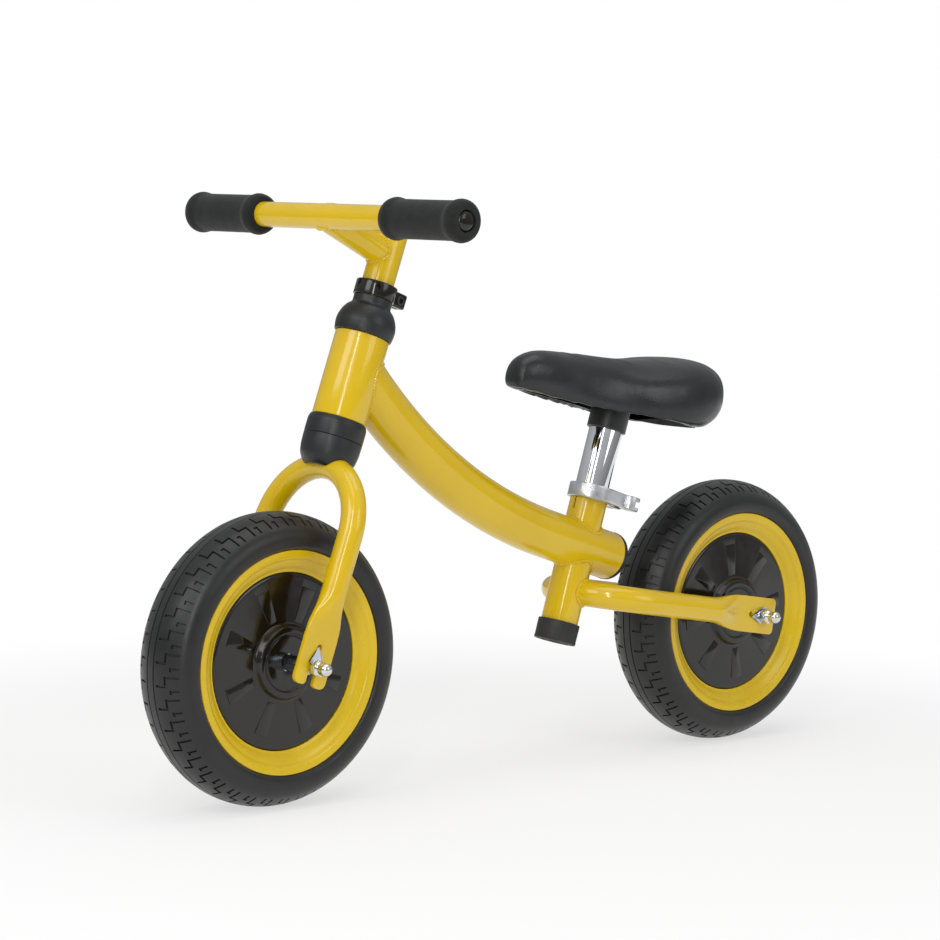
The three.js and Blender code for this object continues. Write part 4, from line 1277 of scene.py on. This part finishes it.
# ------------------------------------------------------------------------------------ handlebar
@dataclass
class Handlebar:
    """The stem, brace and bar welded together, with foam grips, in the head frame."""

    shop: Workshop
    stem: float = 14.3
    stem_bore: float = 12.5
    stem_span: tuple[float, float] = (232.0, 392.0)
    bar: float = 11.1
    bar_bore: float = 9.6
    bar_half: float = 173.0
    bar_x: float = 75.4
    bar_z: float = 374.4
    brace: float = 12.5
    brace_bore: float = 11.0
    brace_z: float = 365.8

    def build(self) -> None:
        """Builds the weldment, the plug in the stem and both grips."""
        self.weldment()
        top, bore = self.stem_span[1], self.stem_bore - 0.3
        plug = turned([(0, top - 10), (bore, top - 10, 0.6), (bore, top + 0.3),
                       (self.stem, top + 0.3, 0.3), (self.stem - 0.2, top + 2.3, 1.2), (0, top + 2.6)],
                      closed=False, steps=64)
        self.shop.finish("stem_top_cap", plug, self.shop.places.head, Body.HANDLEBAR,
                         Slot.SATIN_BLACK_PLASTIC, ["stem_top_plug"])
        for side in Side:
            self.grip(side)

    def at_bar(self, bm: BMesh) -> BMesh:
        """Lays a shape made round +Z along the bar."""
        return moved(placed(bm, AXLE_LINE), self.bar_x, 0, self.bar_z)

    def weldment(self) -> None:
        """The three tubes, bored, with their weld beads."""
        reach = Vector((self.bar_x, 0, self.bar_z - self.brace_z))
        lean = Matrix.Rotation(math.atan2(reach.x, reach.z), 4, "Y")
        lean = Matrix.Translation((0, 0, self.brace_z)) @ lean
        low, high = self.stem_span
        added = [self.at_bar(rod(self.bar, -self.bar_half, self.bar_half, steps=72)),
                 placed(rod(self.brace, 0, reach.length, steps=72), lean)]
        cut = [rod(self.stem_bore, low - 1, high + 1, steps=72),
               self.at_bar(rod(self.bar_bore, -self.bar_half - 1, self.bar_half + 1, steps=72)),
               placed(rod(self.brace_bore, 6, reach.length - self.bar + 1.5, steps=72), lean)]
        body = combined(rod(self.stem, low, high, steps=80, cut=0.3), added, cut)
        whole = merged([body, *self.beads(lean, reach)])
        self.shop.finish("handlebar_weldment", whole, self.shop.places.head, Body.HANDLEBAR,
                         Slot.YELLOW_ENAMEL, ["handlebar"], 30.0)

    def beads(self, lean: Matrix, reach: Vector) -> list[BMesh]:
        """The beads round the brace at the stem, and round it on the bar.

        Args:
            lean: the brace's own frame.
            reach: the way from the brace's foot to the bar's middle.

        Returns:
            The two beads.
        """
        def brace_surface(turn: float, along: float) -> Vector:
            """A point on the brace, by its turn and how far along it."""
            return lean @ Vector((self.brace * math.cos(turn), self.brace * math.sin(turn), along))

        line = seam(brace_surface, lambda p: math.hypot(p.x, p.y) - self.stem, circle_turns(64),
                    (30.0, 4.0))
        way = reach.normalized()
        on_bar = []
        for sign, turns in ((1, range(-16, 17)), (-1, range(16, -17, -1))):
            for step in turns:
                turn = math.pi / 2 * step / 16
                out = -way * math.cos(turn) + Vector((way.z, 0, -way.x)) * math.sin(turn)
                rise = self.bar * math.sin(turn)
                wide = math.sqrt(self.brace**2 - rise**2)
                on_bar.append(Vector((self.bar_x, sign * wide, self.bar_z)) + out * self.bar)
        return [weld_bead(resampled(line, BEAD_STEP), 1.6), weld_bead(resampled(on_bar, BEAD_STEP), 1.5)]

    def grip(self, side: Side) -> None:
        """One foam grip with its two bulged rings, and the domed plug in its end."""
        bore, mouth, body = self.bar + 0.3, 9.7, 16.8
        profile = [(bore, 85), (14.6, 85, 0.8), (16.6, 86.3, 1.2), (18.3, 90.4, 2.4), (18.3, 94.2, 2.4),
                   (body, 98.4, 2.2), (16.5, 132, 20.0), (body, 165.6, 2.2), (18.3, 169.8, 2.4),
                   (18.3, 174.2, 2.4), (16.6, 177.9, 1.4), (14.2, 179.2, 0.8), (mouth, 179.2, 0.5),
                   (mouth, 173.5), (bore, 173.5)]
        flip = Matrix.Scale(side.sign, 4, Vector((0, 1, 0)))
        place = self.shop.places.head
        foam = placed(self.at_bar(turned(profile, steps=96, segments=6)), flip)
        self.shop.finish(f"{side.word}_foam_grip", foam, place, Body.HANDLEBAR, Slot.GRIP_FOAM,
                         [f"{side.word}_grip"])
        insert = self.bar_bore - 0.3
        dome = [(0, 162), (insert, 162, 0.6), (insert, 173.3), (9.4, 173.3, 0.3), (9.4, 176.6, 1.4),
                (7.2, 179.4, 1.8), (0, 180.4)]
        plug = placed(self.at_bar(turned(dome, closed=False, steps=64, segments=5)), flip)
        self.shop.finish(f"{side.word}_bar_end_plug", plug, place, Body.HANDLEBAR,
                         Slot.GLOSS_BLACK_PLASTIC, [f"{side.word}_grip_plug"])


# --------------------------------------------------------------------------------------- wheels
@dataclass
class Wheel:
    """A foam tyre on a moulded rim with two snap-in covers, bearings, sleeves and its axle hardware."""

    shop: Workshop
    word: str
    place: Matrix
    leg_place: Matrix  # +Z up the leg from the axle
    body: Body
    carrier: Body  # the body that holds the axle
    rib_turn: float  # degrees from straight ahead to the first raised panel
    radius: float = 127.0
    crown_drop: float = 9.8
    shoulder: float = 26.5
    pitches: int = 40
    divisions: int = 10
    groove_depth: float = 1.5
    groove_slope: float = 0.32  # how far a groove's wall leans in

    LINE_GROOVE = (3.4, 4.8)
    LINE_DEPTH = 0.9
    LINE_SLOPE = 0.35
    ROWS = (7.0, 11.0, 15.0, 16.8, 19.5, 21.2, 23.8)
    # Tread grooves of one pitch on the left half: first and last division, lowest and highest width.
    GROOVES = ((1, 1, 15.0, 26.5), (1, 5, 15.0, 16.8), (5, 5, 7.0, 16.8), (7, 7, 19.5, 26.5),
               (7, 8, 19.5, 21.2))

    def build(self) -> None:
        """Builds the wheel and the hardware on its axle."""
        self.finish("foam_tyre", self.tyre(), Slot.FOAM_TYRE, "tyre", 32.0)
        self.rim()
        for side in Side:
            self.cover(side)
            self.hub(side)
            self.axle_end(side)
        axle = placed(rod(4.0, -75, 75, steps=48, cut=0.6), AXLE_LINE)
        self.shop.finish(f"{self.word}_wheel_axle", axle, self.place, self.carrier, Slot.ZINC_STEEL,
                         [f"{self.word}_axle"])

    def finish(self, name: str, bm: BMesh, slot: Slot, node: str, crease: float = 34.0) -> None:
        """Finishes a piece that turns with the wheel.

        Args:
            name: the piece's name after the wheel's word.
            bm: the piece, made round +Z.
            slot: its material slot.
            node: the CAD node it stands for, after the wheel's word.
            crease: degrees from which an edge stays sharp.
        """
        self.shop.finish(f"{self.word}_{name}", placed(bm, AXLE_LINE), self.place, self.body, slot,
                         [f"{self.word}_{node}"], crease)

    def crown(self, width: float) -> float:
        """The tread's radius at a width from the middle."""
        return self.radius - self.crown_drop * (abs(width) / self.shoulder) ** 2.2

    def tyre(self) -> BMesh:
        """The tyre: one pitch of tread with its grooves pressed in, copied round the wheel."""
        near, far = self.LINE_GROOVE
        rows = [(self.crown(w), w) for w in (0.0, near)]
        rows += [(self.crown(near) - self.LINE_DEPTH, near + self.LINE_SLOPE),
                 (self.crown(far) - self.LINE_DEPTH, far - self.LINE_SLOPE), (self.crown(far), far)]
        rows += [(self.crown(w), w) for w in self.ROWS] + [(self.crown(self.shoulder), self.shoulder)]
        side_wall = [(111.4, 32.5, 6.4), (98.6, 31.9, 3.0), (96.8, 28.6, 0.8)]
        half = rows + side_wall
        corners = half + [(corner[0], -corner[1], *corner[2:]) for corner in reversed(half[1:])]
        bm = wire(corners, closed=True, segments=6)
        step = math.tau / self.pitches / self.divisions
        grown = bm.verts[:] + bm.edges[:]
        for _ in range(self.divisions):
            spun = bmesh.ops.spin(bm, geom=grown, cent=(0, 0, 0), axis=(0, 0, 1), dvec=(0, 0, 0),
                                  angle=step, steps=1, use_merge=False, use_duplicate=False)
            grown = spun["geom_last"]
        bmesh.ops.recalc_face_normals(bm, faces=bm.faces[:])
        self.press_tread(bm, step)
        copies = self.pitches - 1
        bmesh.ops.spin(bm, geom=bm.verts[:] + bm.edges[:] + bm.faces[:], cent=(0, 0, 0),
                       axis=(0, 0, 1), dvec=(0, 0, 0), angle=math.tau * copies / self.pitches,
                       steps=copies, use_merge=False, use_duplicate=True)
        bmesh.ops.remove_doubles(bm, verts=bm.verts[:], dist=1e-3)
        bmesh.ops.recalc_face_normals(bm, faces=bm.faces[:])
        return bm

    def press_tread(self, bm: BMesh, step: float) -> None:
        """Presses the grooves of one pitch into its faces, turned half round on the right half.

        Args:
            bm: one pitch of the tyre.
            step: the angle of one division, in radians.
        """
        pressed = []
        for face in bm.faces:
            centre = face.calc_center_median()
            if centre.xy.length < self.crown(self.shoulder) - 0.5:
                continue
            division = int(math.atan2(centre.y, centre.x) / step)
            if centre.z < 0:
                division = self.divisions - 1 - division
            width = abs(centre.z)
            if any(first <= division <= last and low < width < high
                   for first, last, low, high in self.GROOVES):
                pressed.append(face)
        bmesh.ops.inset_region(bm, faces=pressed, thickness=self.groove_slope,
                               depth=-self.groove_depth, use_boundary=True, use_even_offset=True)

    def rim(self) -> None:
        """The moulded rim: a broad flange, a step, a dished slope and the hub barrel."""
        half = [(96.5, 29.2, 0.7), (89.8, 28.5, 1.8), (87.8, 26.2, 1.2), (83.4, 24.2, 3.0),
                (78.8, 19.8, 1.6), (76.8, 19.4, 0.6), (76.8, 17.2), (91, 22.5, 2.0), (93, 2.5, 1.0),
                (16, 2.5, 1.0), (16, 24.5, 0.5), (11.3, 24.5, 0.5)]
        corners = half + [(corner[0], -corner[1], *corner[2:]) for corner in reversed(half)]
        self.finish("moulded_rim", turned(corners, steps=160, segments=5), Slot.YELLOW_PLASTIC, "rim")

    def cover(self, side: Side) -> None:
        """One snap-in cover: a flat disc with eight raised panels round a stepped hub ring."""
        profile = [(16.3, 17.6), (16.3, 24.8), (7.6, 24.8), (7.6, 25.4, 0.3), (22.6, 25.8, 0.5),
                   (23.5, 25.2, 0.4), (24.7, 25.2, 0.4), (25.6, 26.6, 0.6), (30.4, 26.4, 1.3),
                   (33.2, 20.8, 1.8), (74.4, 20.2, 1.2), (76.3, 19.0, 0.5), (76.3, 17.6)]
        outline = [(36.5, -4.2, 0.8), (66.0, -7.2, 1.2), (66.0, 7.2, 1.2), (36.5, 4.2, 0.8)]
        panels = []
        for index in range(8):
            panel = plate(outline, 18.4, 20.9, 4)
            soften(panel, 0.3, 2, 60.0)
            turn = -math.radians(self.rib_turn + 45 * index)
            panels.append(placed(panel, Matrix.Rotation(turn, 4, "Z")))
        disc = combined(turned(profile, steps=160, segments=5), [merged(panels)])
        flip = Matrix.Scale(side.sign, 4, Vector((0, 0, 1)))
        self.finish(f"wheel_cover_{side.word}", placed(disc, flip), Slot.GLOSS_BLACK_PLASTIC,
                    f"cover_{side.word}")

    def hub(self, side: Side) -> None:
        """The sealed bearing and the spacer sleeve on one side."""
        flip = Matrix.Scale(side.sign, 4, Vector((0, 0, 1)))
        bearing = [(4.15, 17.2, 0.3), (11, 17.2, 0.5), (11, 24.2, 0.5), (9.4, 24.2, 0.2), (9.2, 23.7),
                   (6.4, 23.7), (6.2, 24.2, 0.2), (4.15, 24.2, 0.3)]
        self.finish(f"sealed_bearing_{side.word}", placed(turned(bearing, steps=64), flip),
                    Slot.ZINC_STEEL, f"bearing_{side.word}")
        sleeve = placed(placed(ring(4.15, 7.0, 24.5, 54.8, cut=0.5, steps=64), flip), AXLE_LINE)
        self.shop.finish(f"{self.word}_spacer_sleeve_{side.word}", sleeve, self.place, self.carrier,
                         Slot.ZINC_STEEL, [f"{self.word}_axle_sleeve_{side.word}"])

    def axle_end(self, side: Side) -> None:
        """The tabbed washer against the dropout and the domed nut outside it."""
        face, thickness = 59.8, 1.6
        washer = bmesh.new()
        for radius, height in ((8.6, 0.0), (2.2, 16.9)):
            centre = Matrix.Translation((0, height, face + thickness / 2))
            bmesh.ops.create_cone(washer, cap_ends=True, segments=48, radius1=radius, radius2=radius,
                                  depth=thickness, matrix=centre)
        hull = bmesh.ops.convex_hull(washer, input=washer.verts[:])
        inside = list({*hull["geom_interior"], *hull["geom_unused"]})
        bmesh.ops.delete(washer, geom=inside, context="VERTS")
        washer = hull_only(washer)
        soften(washer, 0.3, 2, 60.0)
        tab = block((-1.8, 16.9, face - 2.8), (1.8, 19.1, face + 0.5))
        washer = combined(washer, [tab], [rod(4.3, face - 1, face + 3, steps=48)])
        upright = Matrix.Scale(-side.sign, 4, Vector((0, 1, 0))) @ Matrix.Rotation(math.pi / 2, 4, "X")
        self.shop.finish(f"{self.word}_tab_washer_{side.word}", placed(washer, upright), self.leg_place,
                         self.carrier, Slot.ZINC_STEEL, [f"{self.word}_retention_washer_{side.word}"])
        flip = Matrix.Scale(side.sign, 4, Vector((0, 0, 1)))
        nut = placed(placed(self.dome_nut(face + thickness + 0.3), flip), AXLE_LINE)
        self.shop.finish(f"{self.word}_acorn_nut_{side.word}", nut, self.leg_place, self.carrier,
                         Slot.BRIGHT_STEEL, [f"{self.word}_dome_nut_{side.word}"])

    def dome_nut(self, base: float) -> BMesh:
        """An acorn nut: a chamfered hexagon, a waist and a polished dome, blind inside.

        Args:
            base: where it stands along the axle.

        Returns:
            The nut, round +Z.
        """
        dome, centre = 5.7, base + 12.9
        arc = [math.radians(-35 + 125 * index / 14) for index in range(15)]
        profile = [(0, base + 2), (6.3, base + 2), (6.2, base + 5.9, 0.5), (4.9, base + 7.6, 0.8)]
        profile += [(dome * math.cos(angle), centre + dome * math.sin(angle)) for angle in arc[:-1]]
        body = turned([*profile, (0, centre + dome)], closed=False, steps=64)
        hexagon = soften(rod(7.4, base, base + 5.6, steps=6), 0.45, 3, 50.0)
        return combined(hexagon, [body], [rod(4.3, base - 1, base + 13.6, steps=40)])


# --------------------------------------------------------------------------------------- saddle
@dataclass(frozen=True)
class Station:
    """One cross-section of the saddle, in mm on the bike."""

    x: float
    half_width: float
    low: float
    high: float
    square: float  # how square the section is, where 2 is an ellipse


@dataclass
class Saddle:
    """A foam pad under leathercloth on a plastic pan, on a chromed post."""

    shop: Workshop
    stations: tuple[Station, ...] = (
        Station(4, 21, 338, 388, 2.3), Station(-22, 23.5, 334, 388, 2.3), Station(-60, 26, 324, 381, 2.4),
        Station(-100, 34, 312, 374.5, 2.5), Station(-140, 50, 302, 371, 2.6),
        Station(-180, 62, 298, 374, 2.7), Station(-212, 65, 298, 378, 2.7),
        Station(-242, 61, 302, 377.5, 2.6),
    )
    blunt: float = 0.36  # below 1 the ends are blunter than a ball's
    nose_shear: float = 0.3
    edge_x: float = 4.0
    edge_z: float = 350.0
    edge_slope: float = 0.2
    pad_depth: float = 22.0
    skin_inset: float = 8.0
    opening_inset: float = 24.0
    rim_depth: float = 8.0
    voxel: float = 0.004  # metres
    swell: float = 0.004  # metres, the most that a point may move

    def build(self) -> None:
        """Builds the post, the pan and the pad."""
        seat = self.shop.places.seat
        post = ring(14.4, 15.9, -5, 148, cut=0.5, steps=96)
        self.shop.finish("chromed_seatpost", post, seat, Body.SADDLE, Slot.CHROME, ["seatpost"])
        self.pan()
        self.screw()
        self.pad()

    def station(self, x: float) -> Station:
        """The cross-section at a place, on a smooth curve through the stations round it.

        Args:
            x: the place along the bike.

        Returns:
            The section there.
        """
        index = 1
        while index < len(self.stations) - 1 and x < self.stations[index].x:
            index += 1
        before, after = self.stations[index - 1], self.stations[index]
        share = min(max((before.x - x) / (before.x - after.x), 0.0), 1.0)
        previous = self.stations[max(index - 2, 0)]
        following = self.stations[min(index + 1, len(self.stations) - 1)]

        def eased(name: str) -> float:
            """One measure, on a smooth curve through the four nearest stations."""
            a, b, c, d = (getattr(s, name) for s in (previous, before, after, following))
            return 0.5 * (2 * b + (c - a) * share + (2 * a - 5 * b + 4 * c - d) * share**2
                          + (3 * b - a - 3 * c + d) * share**3)

        return Station(x, eased("half_width"), eased("low"), eased("high"), eased("square"))

    def solid(self, inset: float = 0.0, lowered: float = 0.0, deepened: float = 0.0) -> BMesh:
        """The saddle's rounded body, in mm on the bike.

        Args:
            inset: mm taken off its sides and ends.
            lowered: mm taken off its top.
            deepened: mm added below.

        Returns:
            The closed body.
        """
        bm = bmesh.new()
        bmesh.ops.create_uvsphere(bm, u_segments=72, v_segments=56, radius=1.0,
                                  matrix=Matrix.Rotation(math.pi / 2, 4, "Y"))
        nose, tail = self.stations[0].x - inset, self.stations[-1].x + inset
        for vert in bm.verts:
            along = min(max(vert.co.x, -1.0), 1.0)
            x = (nose + tail) / 2 + along * (nose - tail) / 2
            size = max(1 - along * along, 0.0) ** (self.blunt / 2)
            section = self.station(x)
            turn = math.atan2(vert.co.z, vert.co.y)
            power = 2 / section.square
            side = math.copysign(abs(math.cos(turn)) ** power, math.cos(turn)) * size
            rise = math.copysign(abs(math.sin(turn)) ** power, math.sin(turn)) * size
            top, bottom = section.high - lowered, section.low - deepened
            middle = (top + bottom) / 2
            z = middle + rise * (top - bottom) / 2
            shear = self.nose_shear * (364 - z) * ease((x + 60) / 64)
            vert.co = (x + shear, side * max(section.half_width - inset, 4.0), z)
        return bm

    def hollow(self, wall: float) -> list[BMesh]:
        """The space under the pad, a wall smaller all round.

        Args:
            wall: mm taken off it on every side.

        Returns:
            The space above the rim that curls in, and the narrower one that opens below.
        """
        top = self.pad_depth + wall
        return [self.solid(self.skin_inset + wall, top, -self.rim_depth - wall),
                self.solid(self.opening_inset + wall, top + 0.05, 40)]

    def below_edge(self, raised: float) -> BMesh:
        """A block that holds everything under the saddle's slanting lower edge.

        Args:
            raised: mm its top stands above that edge.

        Returns:
            The block.
        """
        tilt = Matrix.Rotation(-math.atan(self.edge_slope), 4, "Y")
        tilt = Matrix.Translation((self.edge_x, 0, self.edge_z + raised)) @ tilt
        return placed(block((-400, -120, -120), (80, 120, 0)), tilt)

    def pan(self) -> None:
        """The moulded pan under the pad: a thin tray with ribs and the socket for the post."""
        wall, clear = 2.7, 0.4
        space, opening = self.hollow(clear)
        tray = combined(space, [opening], [*self.hollow(wall), self.below_edge(2)])
        in_bike = Matrix.Scale(1 / METRE, 4) @ self.shop.places.seat
        clipped = [self.solid(self.skin_inset + 1.6, self.pad_depth + 1.6, 60) for _ in range(2)]
        socket = combined(placed(rod(18.5, 126, 170, steps=80, cut=0.6), in_bike), kept=[clipped[0]])
        ribs = [block((-235, y - 0.9, 318), (0, y + 0.9, 372)) for y in (-16, 16)]
        ribs += [block((x - 0.9, -70, 318), (x + 0.9, 70, 372)) for x in (-60, -95, -175, -205)]
        web = combined(ribs[0], ribs[1:], [self.below_edge(14)], kept=[clipped[1]])
        bores = [placed(rod(16.2, 120, 148.3, steps=80), in_bike)]
        hole = Matrix.Translation((0, 0, 133)) @ Matrix.Rotation(-math.pi / 2, 4, "Y")
        bores.append(placed(rod(2.3, 10, 40, steps=32), in_bike @ hole))
        pan = combined(tray, [web, socket], bores)
        self.shop.finish("saddle_pan", pan, Matrix.Scale(METRE, 4), Body.SADDLE, Slot.SATIN_BLACK_PLASTIC,
                         ["saddle_shell"], 30.0)

    def screw(self) -> None:
        """The cross-head screw that holds the socket on the post, driven in from behind."""
        shank = turned([(0, 16.4), (2, 16.4, 0.4), (2, 18.9), (4.5, 18.9, 0.3), (4.5, 20.4, 0.8),
                        (3.2, 21.8, 0.8), (0, 22.1)], closed=False, steps=48)
        cross = [block((-2.4, -0.45, 20.9), (2.4, 0.45, 24)), block((-0.45, -2.4, 20.9), (0.45, 2.4, 24))]
        screw = placed(combined(shank, cut=cross), Matrix.Rotation(-math.pi / 2, 4, "Y"))
        self.shop.finish("saddle_fixing_screw", moved(screw, z=133), self.shop.places.seat, Body.SADDLE,
                         Slot.ZINC_STEEL, ["saddle_screw"])

    def pad(self) -> None:
        """The pad, blown up a little under its cover as foam fills a skin."""
        blank = combined(self.solid(), cut=[self.below_edge(0), *self.hollow(0)])
        # Turned so that the lower edge lies along the voxels.
        level = Matrix.Rotation(math.atan(self.edge_slope), 4, "Y")
        placed(blank, level @ Matrix.Scale(METRE, 4))
        pad = placed(self.stuffed(blank), level.inverted())
        piece = self.shop.finish("padded_saddle_cover", pad, Matrix.Identity(4), Body.SADDLE,
                                 Slot.SADDLE_LEATHERETTE, ["saddle_pad"], 180.0)
        rounding = piece.modifiers.new("rounding", "SUBSURF")
        rounding.levels = rounding.render_levels = 1

    def stuffed(self, blank: BMesh) -> BMesh:
        """Evens a pad's mesh and swells it by a short cloth simulation, within a cap.

        Args:
            blank: the pad in metres, with its lower edge level.

        Returns:
            The swollen pad.
        """
        scratch = scratch_object(blank)
        even = scratch.modifiers.new("even", "REMESH")
        even.mode, even.voxel_size = "VOXEL", self.voxel
        bm = evaluated(scratch)
        bpy.data.objects.remove(scratch)
        for _ in range(3):
            bmesh.ops.smooth_vert(bm, verts=bm.verts[:], factor=0.5, use_axis_x=True, use_axis_y=True,
                                  use_axis_z=True)
        rest = [vert.co.copy() for vert in bm.verts]
        skin = scratch_object(bm)
        cloth = skin.modifiers.new("skin", "CLOTH")
        cloth.settings.use_pressure = True
        cloth.settings.uniform_pressure_force = 4.0
        cloth.settings.effector_weights.gravity = 0.0
        cloth.settings.tension_stiffness = cloth.settings.compression_stiffness = 40.0
        cloth.settings.bending_stiffness = 4.0
        cloth.settings.quality = 5
        for step in range(1, 21):
            bpy.context.scene.frame_set(step)
        swollen = evaluated(skin)
        bpy.data.objects.remove(skin)
        for vert, start in zip(swollen.verts, rest):
            shift = vert.co - start
            vert.co = start + shift * min(1.0, self.swell / max(shift.length, 1e-9))
        bpy.context.scene.frame_set(1)
        return swollen


# --------------------------------------------------------------------------------------- studio
@dataclass(frozen=True)
class SoftBox:
    """One rectangular studio light, aimed at a spot."""

    name: str
    place: tuple[float, float, float]
    size: tuple[float, float]
    power: float
    aim: tuple[float, float, float] = (0.0, 0.0, 0.25)

    def build(self) -> None:
        """Makes the light."""
        data = bpy.data.lights.new(self.name, "AREA")
        data.shape = "RECTANGLE"
        data.size, data.size_y = self.size
        data.energy = self.power
        lamp = bpy.data.objects.new(self.name, data)
        lamp.location = self.place
        lamp.rotation_euler = (Vector(self.aim) - Vector(self.place)).to_track_quat("-Z", "Y").to_euler()
        lamp.visible_camera = False
        bpy.context.scene.collection.objects.link(lamp)


@dataclass
class Studio:
    """The floor, the light and the camera."""

    floor_radius: float = 3.2  # metres
    glow: tuple[float, float] = (0.45, 0.95)  # metres from the middle, where the glow starts and is full
    near_share: float = 0.62  # how much of the floor's brightness is its own glow under the bike
    lights: tuple[SoftBox, ...] = (
        SoftBox("tall_strip", (1.5, 1.2, 1.1), (0.12, 1.6), 10.0),
        SoftBox("key_box", (2.4, 0.2, 1.9), (1.2, 1.2), 15.0),
        SoftBox("side_box", (-0.6, 2.6, 1.5), (1.2, 1.4), 10.0),
        SoftBox("top_box", (0.0, 0.2, 2.4), (2.2, 1.4), 13.0),
    )
    camera_place: Vector = field(default_factory=lambda: Vector((1.92626, 2.04047, 0.53411)))
    azimuth: float = math.radians(137.439)
    elevation: float = math.radians(5.268)
    roll: float = math.radians(1.238)
    lens: float = 118.23
    sensor: float = 36.0

    def build(self) -> None:
        """Sets up everything round the bike."""
        self.floor()
        self.surroundings()
        for light in self.lights:
            light.build()
        self.camera()
        bpy.context.scene.view_settings.view_transform = "Standard"

    def floor(self) -> None:
        """A pale round sheet under the bike that glows out to plain white away from it."""
        bm = bmesh.new()
        bmesh.ops.create_circle(bm, cap_ends=True, radius=self.floor_radius, segments=128)
        mesh = bpy.data.meshes.new("floor")
        bm.to_mesh(mesh)
        bm.free()
        floor = bpy.data.objects.new("floor", mesh)
        bpy.context.scene.collection.objects.link(floor)
        material = bpy.data.materials.new("matt_white_board")
        material.use_nodes = True
        tree = material.node_tree
        shader = tree.nodes["Principled BSDF"]
        shader.inputs["Base Color"].default_value = linear("#F4F4F2")
        shader.inputs["Roughness"].default_value = 0.85
        shader.inputs["Specular IOR Level"].default_value = 0.1
        place = add_node(tree, "ShaderNodeTexCoord").outputs["Object"]
        far = add_node(tree, "ShaderNodeVectorMath", {"operation": "LENGTH"}, {0: place}).outputs["Value"]
        near, away = self.glow
        share = add_node(tree, "ShaderNodeMapRange", {"interpolation_type": "SMOOTHSTEP"}, {
            "Value": far, "From Min": near, "From Max": away, "To Min": self.near_share, "To Max": 1.0})
        white = add_node(tree, "ShaderNodeEmission", inputs={"Color": (1, 1, 1, 1), "Strength": 1.0})
        mix = add_node(tree, "ShaderNodeMixShader", inputs={
            0: share.outputs["Result"], 1: shader.outputs["BSDF"], 2: white.outputs["Emission"]})
        tree.links.new(mix.outputs["Shader"], tree.nodes["Material Output"].inputs["Surface"])
        mesh.materials.append(material)

    def surroundings(self) -> None:
        """White where the camera sees past the floor, and a dimmer room for light and reflections."""
        world = bpy.data.worlds.new("room")
        bpy.context.scene.world = world
        world.use_nodes = True
        tree = world.node_tree
        output = tree.nodes["World Output"]
        path = add_node(tree, "ShaderNodeLightPath").outputs["Is Camera Ray"]
        way = add_node(tree, "ShaderNodeTexCoord").outputs["Generated"]
        height = add_node(tree, "ShaderNodeSeparateXYZ", inputs={"Vector": way}).outputs["Z"]
        share = add_node(tree, "ShaderNodeMapRange", inputs={
            "Value": height, "From Min": -1.0, "From Max": 1.0}).outputs["Result"]
        ramp = add_node(tree, "ShaderNodeValToRGB", inputs={"Fac": share})
        low, high = ramp.color_ramp.elements
        low.position, high.position = 0.45, 0.75
        low.color, high.color = (0.35, 0.35, 0.35, 1), (0.85, 0.86, 0.88, 1)
        seen = add_node(tree, "ShaderNodeBackground", inputs={"Color": (1, 1, 1, 1), "Strength": 1.0})
        room = add_node(tree, "ShaderNodeBackground", inputs={
            "Color": ramp.outputs["Color"], "Strength": 0.62})
        mix = add_node(tree, "ShaderNodeMixShader", inputs={
            0: path, 1: room.outputs["Background"], 2: seen.outputs["Background"]})
        tree.links.new(mix.outputs["Shader"], output.inputs["Surface"])

    def camera(self) -> None:
        """The camera, from the bike's left and a little ahead of it."""
        data = bpy.data.cameras.new("camera")
        data.lens, data.sensor_width = self.lens, self.sensor
        camera = bpy.data.objects.new("camera", data)
        bpy.context.scene.collection.objects.link(camera)
        flat = math.cos(self.elevation)
        back = Vector((math.sin(self.azimuth) * flat, -math.cos(self.azimuth) * flat,
                       math.sin(self.elevation)))
        camera.rotation_mode = "QUATERNION"
        camera.rotation_quaternion = (-back).to_track_quat("-Z", "Y") @ Quaternion((0, 0, 1), self.roll)
        camera.location = self.camera_place
        bpy.context.scene.camera = camera


def main() -> None:
    """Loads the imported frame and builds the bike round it."""
    logging.basicConfig(level=logging.INFO, format="%(name)s: %(message)s")
    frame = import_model()
    Studio().build()
    places = Places.from_joints(frame["joints"])
    shop = Workshop(places, {finish.slot: finish.build() for finish in FINISHES})
    Frame(shop).build()
    SeatClamp(shop).build()
    Fork(shop).build()
    Handlebar(shop).build()
    Wheel(shop, "front", places.front, places.head, Body.FRONT_WHEEL, Body.FORK, 22.5).build()
    Wheel(shop, "rear", places.rear, places.stay, Body.REAR_WHEEL, Body.FRAME, 39.0).build()
    Saddle(shop).build()
    LOG.info("%d pieces", shop.count)


if __name__ == "__main__":
    main()
